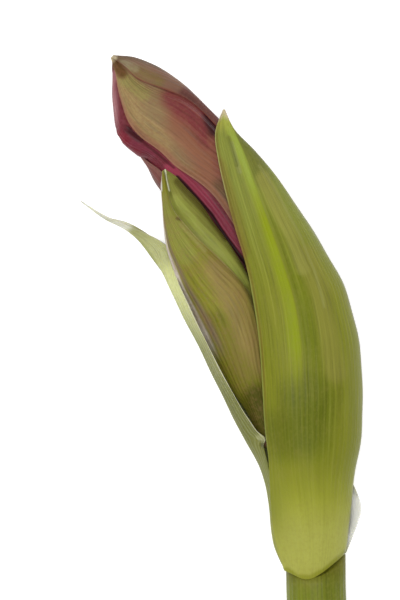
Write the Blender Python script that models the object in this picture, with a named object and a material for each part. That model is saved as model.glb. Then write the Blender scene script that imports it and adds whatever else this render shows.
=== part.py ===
"""A cut kolibri amaryllis in bud, lying on its back on a flat surface.

A hollow scape carries a split spathe of two boat-shaped valves. A large and a small
flower bud stand out of it to the upper left. The flower is drawn in millimetres in its
own axes: x to the right, y along the flower from the base of the spathe towards the tips,
z up, away from the surface. At the end everything is moved so that the middle of its
footprint is at the origin and its lowest points are at z = 0.
"""

import bmesh
import bpy
import numpy as np
from mathutils import Matrix, Vector

for old_object in list(bpy.data.objects):
    bpy.data.objects.remove(old_object, do_unlink=True)

MM = 0.001

# Heights of the surface that the flower lies on and of the spathe's base
SURFACE_Z = -15.2
COLLAR_Z = -3.0

# Scape: hollow flower stalk, cut square
SCAPE_BOTTOM_Y = -150.0
SCAPE_TOP_Y = 8.0
SCAPE_RADIUS = 7.6
SCAPE_NECK_RADIUS = 7.1
SCAPE_TOP_RADIUS = 4.0
SCAPE_RISE_FROM_Y = -50.0
SCAPE_RISE_TO_Y = 2.0
SCAPE_OFFSET_X = 0.6
SCAPE_NECK_Y = -2.4
COLLAR_EDGE = (2.0, 1.65, -0.85, 1.35)
SHOULDER_RINGS = ((-0.7, 7.1), (-0.1, 5.6), (1.3, 5.1))
BORE_RADIUS = 4.6
BORE_END_Y = -28.0
SCAPE_SIDES = 28

# Spathe valves: thickness at the middle and at the margins
VALVE_THICKNESS = 0.95
VALVE_MARGIN = 0.65
VALVE_ROWS = 26
SECTION_FULLNESS = 0.9
LEFT_FACE_ARCH = 0.5
KEEL_BREADTH_DEGREES = 15.0
FRONT_SIDE_LAG = 1.4
INSIDE_FRONT = np.array([-3.0, 40.0, 0.0])
INSIDE_BACK = np.array([-14.0, 44.0, 0.0])

# Tepals: thickness, and the depth of each layer below the outside of the bud
TEPAL_THICKNESS = 0.7
OUTER = 0.0
TUCKED = 1.05
INNERMOST = 2.1
BULGE = (1.05, 1.05, 1.05, 1.05, 1.05, 1.05, 0.8, 0.45, 0.4, 0.5, 0.6)
TEPAL_ROWS = 20
TEPAL_COLUMNS = 8
MARGIN_RAMP_DEGREES = 40.0
BASE_RAMP = 0.1
TIP_RAMP = 0.08

# Stalks, ovaries and the stamens on them. The ovary's profile holds places along the stalk
# and how far its radius has swelled there.
PEDICEL_RADIUS = 1.9
NECK_RADIUS = 2.3
FILAMENT_RADIUS = 0.4
FILAMENT_CIRCLE = 1.2
FILAMENTS = 6
ANTHER_RADIUS = 0.65
LARGE_OVARY_RADIUS = 4.0
SMALL_OVARY_RADIUS = 3.3
OVARY_PROFILE = (
    (0.0, 0.0), (0.2, 0.0), (0.4, 0.0), (0.6, 0.0), (0.72, 0.25), (0.78, 0.7), (0.86, 1.0),
    (0.93, 0.9), (0.98, 0.6), (1.0, 0.4),
)

# Front valve, from its base to its tip: left margin, keel and right outline
FRONT_MARGIN = [
    (-7.1, 1.7, 0.4), (-8.6, 6.7, 1.8), (-10.0, 16.0, 4.0), (-11.0, 24.5, 6.0), (-12.4, 34.5, 8.2),
    (-13.1, 45.0, 9.9), (-13.8, 55.2, 10.3), (-15.1, 65.0, 9.6), (-16.8, 73.8, 8.0),
    (-19.5, 83.1, 5.6), (-21.9, 92.4, 2.8), (-23.3, 98.8, 0.9), (-24.0, 105.2, -0.5),
    (-22.2, 110.8, -1.2),
]
FRONT_KEEL = [
    (-1.9, -0.2, 4.6), (-1.9, 7.1, 6.8), (-2.6, 15.5, 9.6), (-3.8, 25.0, 11.6), (-4.3, 34.5, 13.0),
    (-4.5, 45.2, 13.6), (-5.0, 56.0, 13.3), (-6.2, 65.5, 12.2), (-8.8, 75.0, 10.4),
    (-11.9, 84.5, 7.8), (-15.2, 94.0, 5.0), (-17.4, 100.5, 3.0), (-19.8, 106.2, 1.0),
    (-21.9, 111.0, -1.0),
]
FRONT_OUTLINE = [
    (6.9, 5.0, -3.0), (7.6, 7.6, -3.0), (8.5, 16.0, -2.6), (9.5, 25.5, -2.2), (11.0, 35.0, -1.8),
    (11.2, 45.5, -1.5), (10.2, 56.4, -1.2), (7.6, 66.7, -0.8), (3.1, 76.0, -0.4),
    (-2.9, 85.5, 0.0), (-9.5, 95.0, -0.2), (-14.3, 100.7, -0.6), (-19.2, 106.0, -1.0),
    (-21.6, 110.8, -1.2),
]
FRONT_WRAP_DEGREES = (98, 106, 116, 122, 124, 124, 124, 124, 124, 124, 124, 124, 124, 124)
FRONT_WRAP_DEPTH = (5.6, 6.4, 7.0, 8.0, 9.0, 9.5, 9.0, 8.0, 7.0, 5.5, 4.0, 3.0, 1.6, 0.8)

# Back valve, from its base to its tip: right margin, keel, left flank, left outline and
# the front margin, which curls forward over the small bud
BACK_RIGHT_MARGIN = [
    (7.3, 5.2, -5.6), (9.6, 11.8, -3.4), (10.3, 17.4, -4.0), (7.3, 25.4, -10.2),
    (2.4, 36.5, -13.2), (-4.0, 46.5, -13.9), (-10.5, 56.0, -13.5), (-18.0, 64.0, -12.6),
    (-27.0, 71.2, -10.8), (-35.5, 77.6, -8.8), (-44.3, 83.7, -6.9), (-56.0, 89.4, -6.0),
]
BACK_FLANK_RIGHT = [
    (5.2, 3.5, -9.2), (7.4, 10.4, -9.6), (7.2, 17.5, -11.4), (4.2, 25.0, -13.9),
    (-0.8, 34.5, -14.9), (-6.4, 44.0, -15.1), (-12.6, 53.5, -14.6), (-20.0, 62.0, -13.5),
    (-28.4, 69.9, -11.4), (-36.2, 76.6, -9.2), (-44.7, 83.3, -7.2), (-56.1, 89.3, -6.0),
]
BACK_KEEL = [
    (-0.5, 1.5, -11.2), (-0.6, 9.0, -12.4), (-1.4, 17.0, -13.8), (-3.6, 24.5, -15.0),
    (-7.6, 32.5, -15.5), (-11.6, 41.5, -15.3), (-16.4, 51.0, -14.4), (-23.0, 60.0, -13.0),
    (-30.4, 68.5, -11.0), (-37.4, 75.4, -8.9), (-45.4, 82.7, -7.2), (-56.2, 89.2, -6.0),
]
BACK_FLANK_LEFT = [
    (-6.0, 1.2, -8.6), (-8.0, 8.0, -8.8), (-9.2, 15.5, -9.6), (-11.4, 23.5, -10.2),
    (-14.8, 31.0, -10.4), (-18.8, 39.0, -10.0), (-22.6, 48.5, -9.0), (-28.0, 58.0, -8.2),
    (-32.8, 67.0, -7.6), (-38.4, 74.4, -7.0), (-46.2, 82.1, -6.4), (-56.3, 89.1, -6.0),
]
BACK_OUTLINE = [
    (-7.4, 1.2, -4.6), (-10.0, 7.0, -3.8), (-11.2, 16.7, -3.0), (-13.2, 25.5, -2.2),
    (-17.0, 32.7, -1.2), (-20.9, 40.0, 0.2), (-24.9, 48.4, 1.0), (-29.8, 58.2, 1.4),
    (-34.4, 67.4, -0.4), (-39.0, 76.6, -4.0), (-46.6, 82.9, -5.4), (-56.3, 89.2, -5.9),
]
BACK_FRONT_MARGIN = [
    (-5.9, 2.2, -0.3), (-7.8, 7.6, 0.6), (-9.2, 16.0, 2.2), (-11.2, 25.0, 3.9),
    (-13.6, 33.0, 6.2), (-18.0, 40.0, 8.8), (-22.4, 48.0, 10.0), (-27.5, 58.1, 10.6),
    (-32.6, 68.8, 8.0), (-38.0, 77.8, -1.4), (-46.4, 83.3, -5.0), (-56.2, 89.3, -5.9),
]

# Large bud, from its base to its tip: the outline on its high side and on its low side,
# and the height of its middle
LARGE_HIGH = [
    (-0.4, 44.5), (0.6, 54.0), (0.2, 64.3), (-1.9, 76.2), (-6.2, 86.4), (-11.9, 95.5), (-17.6, 102.9),
    (-23.1, 108.8), (-28.1, 114.0), (-32.9, 118.1), (-37.1, 121.0), (-41.4, 122.9), (-45.2, 124.0),
    (-47.9, 124.5),
]
LARGE_LOW = [
    (-7.2, 43.5), (-10.2, 52.0), (-14.3, 60.3), (-20.0, 69.1), (-26.4, 77.0), (-32.6, 85.9), (-37.9, 92.8),
    (-41.6, 98.1), (-45.6, 102.3), (-48.3, 106.1), (-48.7, 112.3), (-48.9, 118.3), (-49.1, 121.3),
    (-49.3, 122.9),
]
LARGE_MIDDLE_Z = (
    -5.8, -6.2, -6.8, -7.3, -7.7, -7.8, -7.8, -7.7, -7.6, -7.4, -7.2, -7.0, -6.9, -6.8,
)
LARGE_DEPTH = 9.0

# Small bud, in the same way
SMALL_HIGH = [
    (-6.1, 32.5), (-8.5, 42.4), (-10.5, 52.4), (-11.9, 59.5), (-14.0, 66.4), (-16.7, 72.4), (-20.0, 77.9),
    (-23.6, 82.9), (-27.1, 87.9), (-30.7, 92.1), (-33.6, 95.3), (-35.4, 97.0),
]
SMALL_LOW = [
    (-12.2, 30.2), (-16.2, 37.9), (-20.3, 43.9), (-23.9, 50.2), (-27.2, 56.7), (-30.1, 63.4), (-32.6, 69.9),
    (-34.8, 76.0), (-36.0, 82.1), (-36.6, 87.9), (-37.0, 93.1), (-37.1, 95.8),
]
SMALL_MIDDLE_Z = (2.3, 3.0, 3.6, 4.0, 4.2, 4.2, 4.2, 4.0, 3.7, 3.3, 2.8, 2.5)
SMALL_DEPTH = 8.0

# Stalk and ovary of each bud: the path from the scape's top to the bud's base
LARGE_STALK = [(-1.0, 8.4, -5.1), (-1.2, 17.0, -5.3), (-1.9, 26.0, -5.6), (-2.7, 35.0, -5.7),
               (-3.7, 43.5, -5.8)]
SMALL_STALK = [(0.2, 8.7, -0.8), (-0.6, 13.6, 0.2), (-2.6, 18.6, 1.1), (-5.7, 24.4, 1.7),
               (-9.0, 30.9, 2.3)]

# Margins of each tepal, in degrees round the bud at equal steps from its base to its tip:
# 0 is the high side, 90 faces up from the surface and 180 is the low side. After them come
# the depths of the first margin, the middle and the second margin.
LARGE_TEPALS = {
    "large_bud_outer_tepal_top": (
        (-86, -90, -100, -108, -112, -115, -112, -105, -95, -80, -22),
        (-30, -25, -5, 12, 20, 24, 26, 52, 83, 95, 84), (OUTER, OUTER, OUTER), 1.0),
    "large_bud_outer_tepal_front": (
        (34, 30, 20, 2, 5, 8, 10, 38, 67, 84, 124),
        (90, 95, 98, 100, 103, 119, 131, 132, 138, 142, 182), (TUCKED, OUTER, OUTER), 1.0),
    "large_bud_outer_tepal_back": (
        (154, 150, 145, 140, 136, 142, 168, 192, 200, 196, 222),
        (210, 215, 225, 238, 256, 261, 264, 270, 281, 294, 300), (OUTER, OUTER, TUCKED), 1.0),
    "large_bud_inner_tepal_low": (
        (96, 98, 84, 84, 86, 98, 108, 114, 120, 124, 130),
        (148, 146, 160, 166, 172, 184, 198, 210, 214, 212, 202), (TUCKED, BULGE, TUCKED), 0.88),
    "large_bud_inner_tepal_high": (
        (-26, -24, -28, -38, -44, -46, -46, -44, -38, -26, -10),
        (30, 26, 34, 55, 76, 92, 104, 110, 112, 108, 100), (INNERMOST, INNERMOST, INNERMOST), 0.84),
    "large_bud_inner_tepal_rear": (
        (214, 218, 206, 200, 198, 198, 202, 206, 212, 216, 224),
        (269, 266, 282, 298, 306, 308, 308, 310, 314, 316, 312), (INNERMOST, INNERMOST, INNERMOST), 0.84),
}
SMALL_TEPALS = {
    "small_bud_outer_tepal_front": (
        (70, 52, 38, 28, 29, 50, 68, 90, 116, 114, 118),
        (125, 138, 150, 160, 166, 170, 172, 174, 176, 178, 178), (OUTER, OUTER, OUTER), 1.0),
    "small_bud_outer_tepal_right": (
        (-50, -56, -66, -74, -80, -84, -84, -80, -72, -60, -30),
        (4, 10, 30, 42, 46, 66, 84, 106, 130, 122, 78), (OUTER, OUTER, TUCKED), 1.0),
    "small_bud_outer_tepal_rear": (
        (189, 182, 172, 166, 160, 156, 156, 158, 160, 164, 216),
        (245, 252, 262, 272, 284, 292, 293, 295, 302, 308, 296), (TUCKED, OUTER, TUCKED), 1.0),
    "small_bud_inner_tepal_right": (
        (9, 13, 6, -4, -12, -16, -18, -18, -16, -8, 4),
        (64, 48, 60, 78, 86, 92, 96, 98, 98, 94, 88), (INNERMOST, INNERMOST, INNERMOST), 0.78),
    "small_bud_inner_tepal_left": (
        (130, 142, 130, 106, 98, 97, 101, 104, 108, 114, 124),
        (184, 178, 186, 200, 206, 210, 214, 216, 218, 216, 206), (INNERMOST, INNERMOST, INNERMOST), 0.78),
    "small_bud_inner_tepal_rear": (
        (250, 256, 246, 232, 226, 225, 226, 226, 228, 232, 240),
        (305, 300, 310, 326, 334, 338, 336, 334, 334, 332, 328), (INNERMOST, INNERMOST, INNERMOST), 0.78),
}


def plain_material(name, colour, roughness=0.5):
    """A Principled material of one colour."""
    material = bpy.data.materials.new(name)
    material.use_nodes = True
    shader = material.node_tree.nodes["Principled BSDF"]
    shader.inputs["Base Color"].default_value = (*colour, 1.0)
    shader.inputs["Roughness"].default_value = roughness
    shader.inputs["Metallic"].default_value = 0.0
    return material


def smoothstep(value):
    """Ease from 0 to 1, level at both ends."""
    value = np.clip(value, 0.0, 1.0)
    return value * value * (3.0 - 2.0 * value)


def along(points, fraction):
    """The smooth curve through points, spaced evenly in fraction from 0 to 1."""
    points = np.asarray(points, dtype=float)
    last = len(points) - 1
    place = np.clip(np.asarray(fraction, dtype=float), 0.0, 1.0) * last
    index = np.minimum(place.astype(int), last - 1)
    step = place - index
    step = step.reshape(step.shape + (1,) * (points.ndim - 1))
    before = points[np.maximum(index - 1, 0)]
    start = points[index]
    end = points[index + 1]
    after = points[np.minimum(index + 2, last)]
    slope_start = (end - before) / 2
    slope_end = (after - start) / 2
    chord = end - start
    return (start + slope_start * step + (3 * chord - 2 * slope_start - slope_end) * step ** 2
            + (slope_start + slope_end - 2 * chord) * step ** 3)


def add_object(name, mesh_builder, material):
    """Turn a finished bmesh, drawn in millimetres, into an object in metres."""
    bmesh.ops.recalc_face_normals(mesh_builder, faces=mesh_builder.faces)
    if mesh_builder.calc_volume(signed=True) < 0.0:
        bmesh.ops.reverse_faces(mesh_builder, faces=mesh_builder.faces)
    bmesh.ops.scale(mesh_builder, vec=(MM, MM, MM), verts=mesh_builder.verts)
    mesh = bpy.data.meshes.new(name)
    mesh_builder.to_mesh(mesh)
    mesh_builder.free()
    mesh.materials.append(material)
    mesh.shade_smooth()
    built = bpy.data.objects.new(name, mesh)
    bpy.context.scene.collection.objects.link(built)
    return built


def thin_solid(name, outer, inner, material):
    """Close two matching grids of points into one thin blade, split alike on both faces."""
    outer = outer.copy()
    inner = inner.copy()
    outer[..., 2] = np.maximum(outer[..., 2], SURFACE_Z)
    inner[..., 2] = np.maximum(inner[..., 2], SURFACE_Z + VALVE_MARGIN)
    builder = bmesh.new()
    rows, columns = outer.shape[:2]
    front = [[builder.verts.new(point) for point in row] for row in outer]
    back = [[builder.verts.new(point) for point in row] for row in inner]
    for i in range(rows - 1):
        for j in range(columns - 1):
            for face, turn in ((front, 1), (back, -1)):
                a, b, c, d = face[i][j], face[i + 1][j], face[i + 1][j + 1], face[i][j + 1]
                builder.faces.new((a, b, c)[::turn])
                builder.faces.new((a, c, d)[::turn])
    border = [(0, j) for j in range(columns)]
    border += [(i, columns - 1) for i in range(1, rows)]
    border += [(rows - 1, j) for j in range(columns - 2, -1, -1)]
    border += [(i, 0) for i in range(rows - 2, 0, -1)]
    for (i, j), (k, m) in zip(border, border[1:] + border[:1]):
        builder.faces.new((front[i][j], front[k][m], back[k][m]))
        builder.faces.new((front[i][j], back[k][m], back[i][j]))
    return add_object(name, builder, material)


def offset_inward(grid, thickness, inside):
    """Move a grid of points by thickness along its normals, towards the point inside."""
    along_rows = np.gradient(grid, axis=0)
    along_columns = np.gradient(grid, axis=1)
    normals = np.cross(along_rows, along_columns)
    normals /= np.linalg.norm(normals, axis=-1, keepdims=True)
    towards = np.sum(normals * (inside - grid), axis=-1).mean()
    return grid + normals * np.sign(towards) * np.asarray(thickness)[..., None]


def blade_thickness(across):
    """Thick in the middle and thin at both margins; across runs from 0 to 1."""
    return VALVE_MARGIN + (VALVE_THICKNESS - VALVE_MARGIN) * np.sin(np.pi * across)


def front_valve(material):
    """Each section is a low arch from the margin to the keel, then part of an ellipse that
    falls from the keel to the right outline and goes on round the back."""
    fraction = np.linspace(0.0, 1.0, VALVE_ROWS)
    margin = along(FRONT_MARGIN, fraction)[:, None]
    keel = along(FRONT_KEEL, fraction)[:, None]
    outline = along(FRONT_OUTLINE, fraction)[:, None]
    wrap_depth = along(FRONT_WRAP_DEPTH, fraction)[:, None]

    arch = np.linspace(0.0, 1.0, 5)[:-1][None, :, None]
    left = margin + (keel - margin) * arch
    left[..., 2] += LEFT_FACE_ARCH * np.sin(np.pi * arch[..., 0])

    first = np.radians(KEEL_BREADTH_DEGREES)
    last = np.radians(along(FRONT_WRAP_DEGREES, fraction))[:, None]
    turn = first + (last - first) * np.linspace(0.0, 1.0, 10)[None, :]
    reach = (np.sin(turn) - np.sin(first)) / (1.0 - np.sin(first))
    reach = np.maximum(reach, 0.0) ** SECTION_FULLNESS
    fall = np.cos(turn) / np.cos(first)
    fall = np.sign(fall) * np.abs(fall) ** SECTION_FULLNESS
    right = np.empty((VALVE_ROWS, turn.shape[1], 3))
    right[..., 0] = keel[..., 0] + (outline[..., 0] - keel[..., 0]) * reach
    along_side = np.where(turn < np.pi / 2, np.clip(reach, 0, 1) ** FRONT_SIDE_LAG, 1.0)
    right[..., 1] = keel[..., 1] + (outline[..., 1] - keel[..., 1]) * along_side
    height = np.where(turn < np.pi / 2, keel[..., 2] - outline[..., 2], wrap_depth)
    right[..., 2] = outline[..., 2] + height * fall

    outer = np.concatenate([left, right], axis=1)
    across = np.linspace(0.0, 1.0, outer.shape[1])[None, :]
    thickness = blade_thickness(across) * np.ones((VALVE_ROWS, 1))
    inner = offset_inward(outer, thickness, INSIDE_FRONT)
    return thin_solid("spathe_valve_front", outer, inner, material)


def back_valve(material):
    """A boat behind the buds: each section is the smooth curve across the six lines."""
    fraction = np.linspace(0.0, 1.0, VALVE_ROWS)
    lines = [BACK_RIGHT_MARGIN, BACK_FLANK_RIGHT, BACK_KEEL, BACK_FLANK_LEFT, BACK_OUTLINE,
             BACK_FRONT_MARGIN]
    rails = np.stack([along(line, fraction) for line in lines])
    across = np.linspace(0.0, 1.0, 14)
    outer = along(rails, across).transpose(1, 0, 2)
    thickness = blade_thickness(across)[None, :] * np.ones((VALVE_ROWS, 1))
    inner = offset_inward(outer, thickness, INSIDE_BACK)
    return thin_solid("spathe_valve_back", outer, inner, material)


def bud_frame(high, low, middle_z, depth_limit, fraction):
    """Middle, sideways direction and half sizes of a bud's section at each fraction."""
    high_side = along(high, fraction)
    low_side = along(low, fraction)
    centre = np.concatenate([(high_side + low_side) / 2, along(middle_z, fraction)[..., None]], -1)
    span = high_side - low_side
    length = np.linalg.norm(span, axis=-1, keepdims=True)
    sideways = np.concatenate([span / length, np.zeros_like(length)], -1)
    half_width = length[..., 0] / 2
    half_depth = depth_limit * np.tanh(half_width / depth_limit)
    return centre, sideways, half_width, half_depth


def bud_points(bud, fraction, degrees, depth):
    """Points of a bud at a depth below its outside, at an angle round it."""
    centre, sideways, half_width, half_depth = bud_frame(*bud, fraction)
    angle = np.radians(degrees)
    side = ((half_width[:, None] - depth) * np.cos(angle))[..., None] * sideways[:, None]
    up = ((half_depth[:, None] - depth) * np.sin(angle))[..., None] * np.array([0.0, 0.0, 1.0])
    return centre[:, None] + side + up


def tepal(name, bud, spec, material):
    """A blade laid on the bud between its two margins, each at its own depth."""
    first_margin, second_margin, (first_depth, middle_depth, second_depth), reach = spec
    fraction = np.linspace(0.0, reach, TEPAL_ROWS)
    first = along(first_margin, fraction)[:, None]
    second = along(second_margin, fraction)[:, None]
    across = np.linspace(0.0, 1.0, TEPAL_COLUMNS + 1)[None, :]
    degrees = first + (second - first) * across
    ramp = MARGIN_RAMP_DEGREES / np.maximum(second - first, 1.0)
    near_first = 1.0 - smoothstep((across - ramp / 2) / (ramp / 2))
    near_second = 1.0 - smoothstep((1.0 - across - ramp / 2) / (ramp / 2))
    middle_depth = along(np.broadcast_to(middle_depth, len(first_margin)), fraction)[:, None]
    depth = (middle_depth + (first_depth - middle_depth) * near_first
             + (second_depth - middle_depth) * near_second)
    settled = smoothstep((fraction[:, None] - 0.02) / BASE_RAMP)
    if reach == 1.0:
        settled = settled * smoothstep((1.0 - fraction[:, None]) / TIP_RAMP)
    depth = depth * settled
    outer = bud_points(bud, fraction, degrees, depth)
    inner = bud_points(bud, fraction, degrees, depth + TEPAL_THICKNESS)
    return thin_solid(name, outer, inner, material)


def tube_rings(path, radii, sides):
    """Rings of points round a path, square to it, each with its own radius."""
    path = np.asarray(path, dtype=float)
    forward = np.gradient(path, axis=0)
    forward /= np.linalg.norm(forward, axis=1, keepdims=True)
    across = np.cross(forward, np.array([0.0, 0.0, 1.0]))
    across /= np.linalg.norm(across, axis=1, keepdims=True)
    up = np.cross(across, forward)
    turn = (np.arange(sides) + 0.5) * 2 * np.pi / sides
    ring = (np.cos(turn)[None, :, None] * across[:, None]
            + np.sin(turn)[None, :, None] * up[:, None])
    return path[:, None] + np.asarray(radii)[:, None, None] * ring


def capped_tube(name, rings, material):
    """Join rings of points into a closed solid with flat ends."""
    builder = bmesh.new()
    loops = [[builder.verts.new(point) for point in ring] for ring in rings]
    for lower, upper in zip(loops, loops[1:]):
        sides = len(lower)
        for i in range(sides):
            j = (i + 1) % sides
            builder.faces.new((lower[i], lower[j], upper[j], upper[i]))
    builder.faces.new(loops[0][::-1])
    builder.faces.new(loops[-1])
    return add_object(name, builder, material)


def scape_middle(y):
    """Middle of the scape: flat on the surface, then a slow rise to the spathe's base."""
    rise = smoothstep((y - SCAPE_RISE_FROM_Y) / (SCAPE_RISE_TO_Y - SCAPE_RISE_FROM_Y))
    flat_radius = SCAPE_RADIUS * np.cos(np.pi / SCAPE_SIDES)
    low_z = SURFACE_Z + flat_radius
    x = SCAPE_OFFSET_X * (1.0 - smoothstep((y + 20.0) / 22.0))
    return np.stack([x, y, low_z + (COLLAR_Z - low_z) * rise], axis=-1)


def collar_edge(turn):
    """Height of the collar's lower edge round the scape: highest at the right."""
    mean, sideways, upward, twofold = COLLAR_EDGE
    return mean + sideways * np.cos(turn) + upward * np.sin(turn) + twofold * np.cos(2 * turn)


def scape_outside(ring, turn):
    """Rings of the outside: straight, rising, then the shoulder inside the collar."""
    straight = np.linspace(SCAPE_BOTTOM_Y, SCAPE_RISE_FROM_Y, 6)
    rising = np.linspace(SCAPE_RISE_FROM_Y, SCAPE_NECK_Y, 10)[1:]
    taper = smoothstep((rising - SCAPE_RISE_FROM_Y) / (SCAPE_NECK_Y - SCAPE_RISE_FROM_Y))
    radii = np.concatenate([
        np.full(len(straight), SCAPE_RADIUS),
        SCAPE_RADIUS + (SCAPE_NECK_RADIUS - SCAPE_RADIUS) * taper,
    ])
    stem = scape_middle(np.concatenate([straight, rising]))[:, None] + radii[:, None, None] * ring

    shoulder = []
    for rise, radius in SHOULDER_RINGS:
        loop = scape_middle(np.zeros(SCAPE_SIDES)) + radius * ring
        loop[:, 1] = collar_edge(turn) + rise
        shoulder.append(loop)
    for y, radius in ((7.4, SCAPE_TOP_RADIUS + 0.7), (SCAPE_TOP_Y, SCAPE_TOP_RADIUS)):
        shoulder.append(scape_middle(np.full(SCAPE_SIDES, y)) + radius * ring)
    return np.concatenate([stem, np.array(shoulder)])


def scape_bore(ring):
    """Rings of the bore, which closes to a blunt end below the flower."""
    y = np.concatenate([
        np.linspace(SCAPE_BOTTOM_Y, SCAPE_RISE_FROM_Y, 6),
        np.linspace(SCAPE_RISE_FROM_Y, BORE_END_Y, 5)[1:],
    ])
    radii = np.full(len(y), BORE_RADIUS)
    radii[-2:] *= (0.92, 0.45)
    return scape_middle(y)[:, None] + radii[:, None, None] * ring


def scape(material):
    """A stalk with a blind bore from its cut end, and a shoulder that the valves sit on."""
    turn = (np.arange(SCAPE_SIDES) + 0.5) * 2 * np.pi / SCAPE_SIDES
    ring = np.stack([np.cos(turn), np.zeros_like(turn), np.sin(turn)], axis=-1)
    builder = bmesh.new()
    skin = [[builder.verts.new(point) for point in loop] for loop in scape_outside(ring, turn)]
    lining = [[builder.verts.new(point) for point in loop] for loop in scape_bore(ring)]
    strips = list(zip(skin, skin[1:])) + list(zip(lining, lining[1:])) + [(skin[0], lining[0])]
    for lower, upper in strips:
        for i in range(SCAPE_SIDES):
            j = (i + 1) % SCAPE_SIDES
            builder.faces.new((lower[i], lower[j], upper[j], upper[i]))
    builder.faces.new(skin[-1])
    builder.faces.new(lining[-1])
    return add_object("scape", builder, material)


def joined(name, pieces, material):
    """Unite overlapping solids into one body."""
    extra = bpy.data.collections.new(name + "_extra")
    for piece in pieces[1:]:
        bpy.context.scene.collection.objects.unlink(piece)
        extra.objects.link(piece)
    union = pieces[0].modifiers.new("union", "BOOLEAN")
    union.operation = "UNION"
    union.operand_type = "COLLECTION"
    union.collection = extra
    union.solver = "EXACT"
    evaluated = pieces[0].evaluated_get(bpy.context.evaluated_depsgraph_get())
    mesh = bpy.data.meshes.new_from_object(evaluated)
    for piece in list(pieces):
        bpy.data.objects.remove(piece, do_unlink=True)
    bpy.data.collections.remove(extra)
    mesh.name = name
    mesh.materials.clear()
    mesh.materials.append(material)
    body = bpy.data.objects.new(name, mesh)
    bpy.context.scene.collection.objects.link(body)
    return body


def stalk_and_stamens(name, bud, stalk, ovary_radius, material):
    """Pedicel, ovary and the short floral tube, with six stamens and the style on it."""
    fraction, swelling = np.array(OVARY_PROFILE).T
    bud_start, _, _, _ = bud_frame(*bud, np.array([0.0, 0.045]))
    path = np.concatenate([along(stalk, fraction), bud_start])
    radii = PEDICEL_RADIUS + (ovary_radius - PEDICEL_RADIUS) * swelling
    radii = np.concatenate([radii, [NECK_RADIUS, NECK_RADIUS]])
    pieces = [capped_tube(name + "_base", tube_rings(path, radii, 14), material)]

    rise = np.linspace(0.03, 0.62, 12)
    centre, sideways, _, _ = bud_frame(*bud, rise)
    upward = np.array([0.0, 0.0, 1.0])
    style_radii = np.full(len(rise), FILAMENT_RADIUS)
    pieces.append(capped_tube(name + "_style", tube_rings(centre, style_radii, 6), material))
    for i in range(FILAMENTS):
        angle = (i + 0.5) * 2 * np.pi / FILAMENTS
        spread = FILAMENT_CIRCLE + 0.5 * smoothstep((rise - 0.15) / 0.3)
        filament = centre + spread[:, None] * (np.cos(angle) * sideways + np.sin(angle) * upward)
        thickness = np.where(rise > 0.5, ANTHER_RADIUS, FILAMENT_RADIUS)
        thickness[-1] = FILAMENT_RADIUS
        rings = tube_rings(filament, thickness, 6)
        pieces.append(capped_tube(f"{name}_stamen_{i}", rings, material))
    return joined(name, pieces, material)


def settle_at_origin():
    """Put the middle of the footprint at x = y = 0 and the lowest points at z = 0."""
    built = list(bpy.context.scene.collection.objects)
    corners = np.concatenate([
        np.array([vertex.co for vertex in each.data.vertices]) for each in built
    ])
    low = corners.min(axis=0)
    high = corners.max(axis=0)
    shift = Vector((-(low[0] + high[0]) / 2, -(low[1] + high[1]) / 2, -low[2]))
    for each in built:
        each.data.transform(Matrix.Translation(shift))
    print("moved by (m):", [round(value, 6) for value in shift])


green = plain_material("spathe green", (0.30, 0.36, 0.04), 0.45)
pale_green = plain_material("pale spathe green", (0.42, 0.48, 0.12), 0.45)
stem_green = plain_material("scape green", (0.33, 0.40, 0.07), 0.4)
khaki = plain_material("khaki tepal", (0.33, 0.20, 0.09), 0.5)
crimson = plain_material("crimson tepal", (0.20, 0.02, 0.04), 0.5)
olive = plain_material("olive tepal", (0.22, 0.20, 0.04), 0.5)
ovary_green = plain_material("ovary green", (0.30, 0.38, 0.08), 0.5)

LARGE_BUD = (LARGE_HIGH, LARGE_LOW, LARGE_MIDDLE_Z, LARGE_DEPTH)
SMALL_BUD = (SMALL_HIGH, SMALL_LOW, SMALL_MIDDLE_Z, SMALL_DEPTH)

scape(stem_green)
front_valve(green)
back_valve(pale_green)
stalk_and_stamens("large_bud_stalk_and_ovary", LARGE_BUD, LARGE_STALK,
                  LARGE_OVARY_RADIUS, ovary_green)
stalk_and_stamens("small_bud_stalk_and_ovary", SMALL_BUD, SMALL_STALK,
                  SMALL_OVARY_RADIUS, ovary_green)
for tepal_name, tepal_spec in LARGE_TEPALS.items():
    tepal(tepal_name, LARGE_BUD, tepal_spec, crimson if "inner" in tepal_name else khaki)
for tepal_name, tepal_spec in SMALL_TEPALS.items():
    tepal(tepal_name, SMALL_BUD, tepal_spec, crimson if "inner" in tepal_name else olive)
settle_at_origin()
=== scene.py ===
# %% [markdown]
# # A kolibri amaryllis in bud
#
# This lesson dresses a cut amaryllis that lies on a pale table: a hollow stalk, the scape,
# a spathe of two boat-shaped valves that has split, and two buds that stand out of it.
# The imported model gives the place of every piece. Each piece is then made again as a
# finer surface over it, and gets the skin of a living plant.

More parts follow.
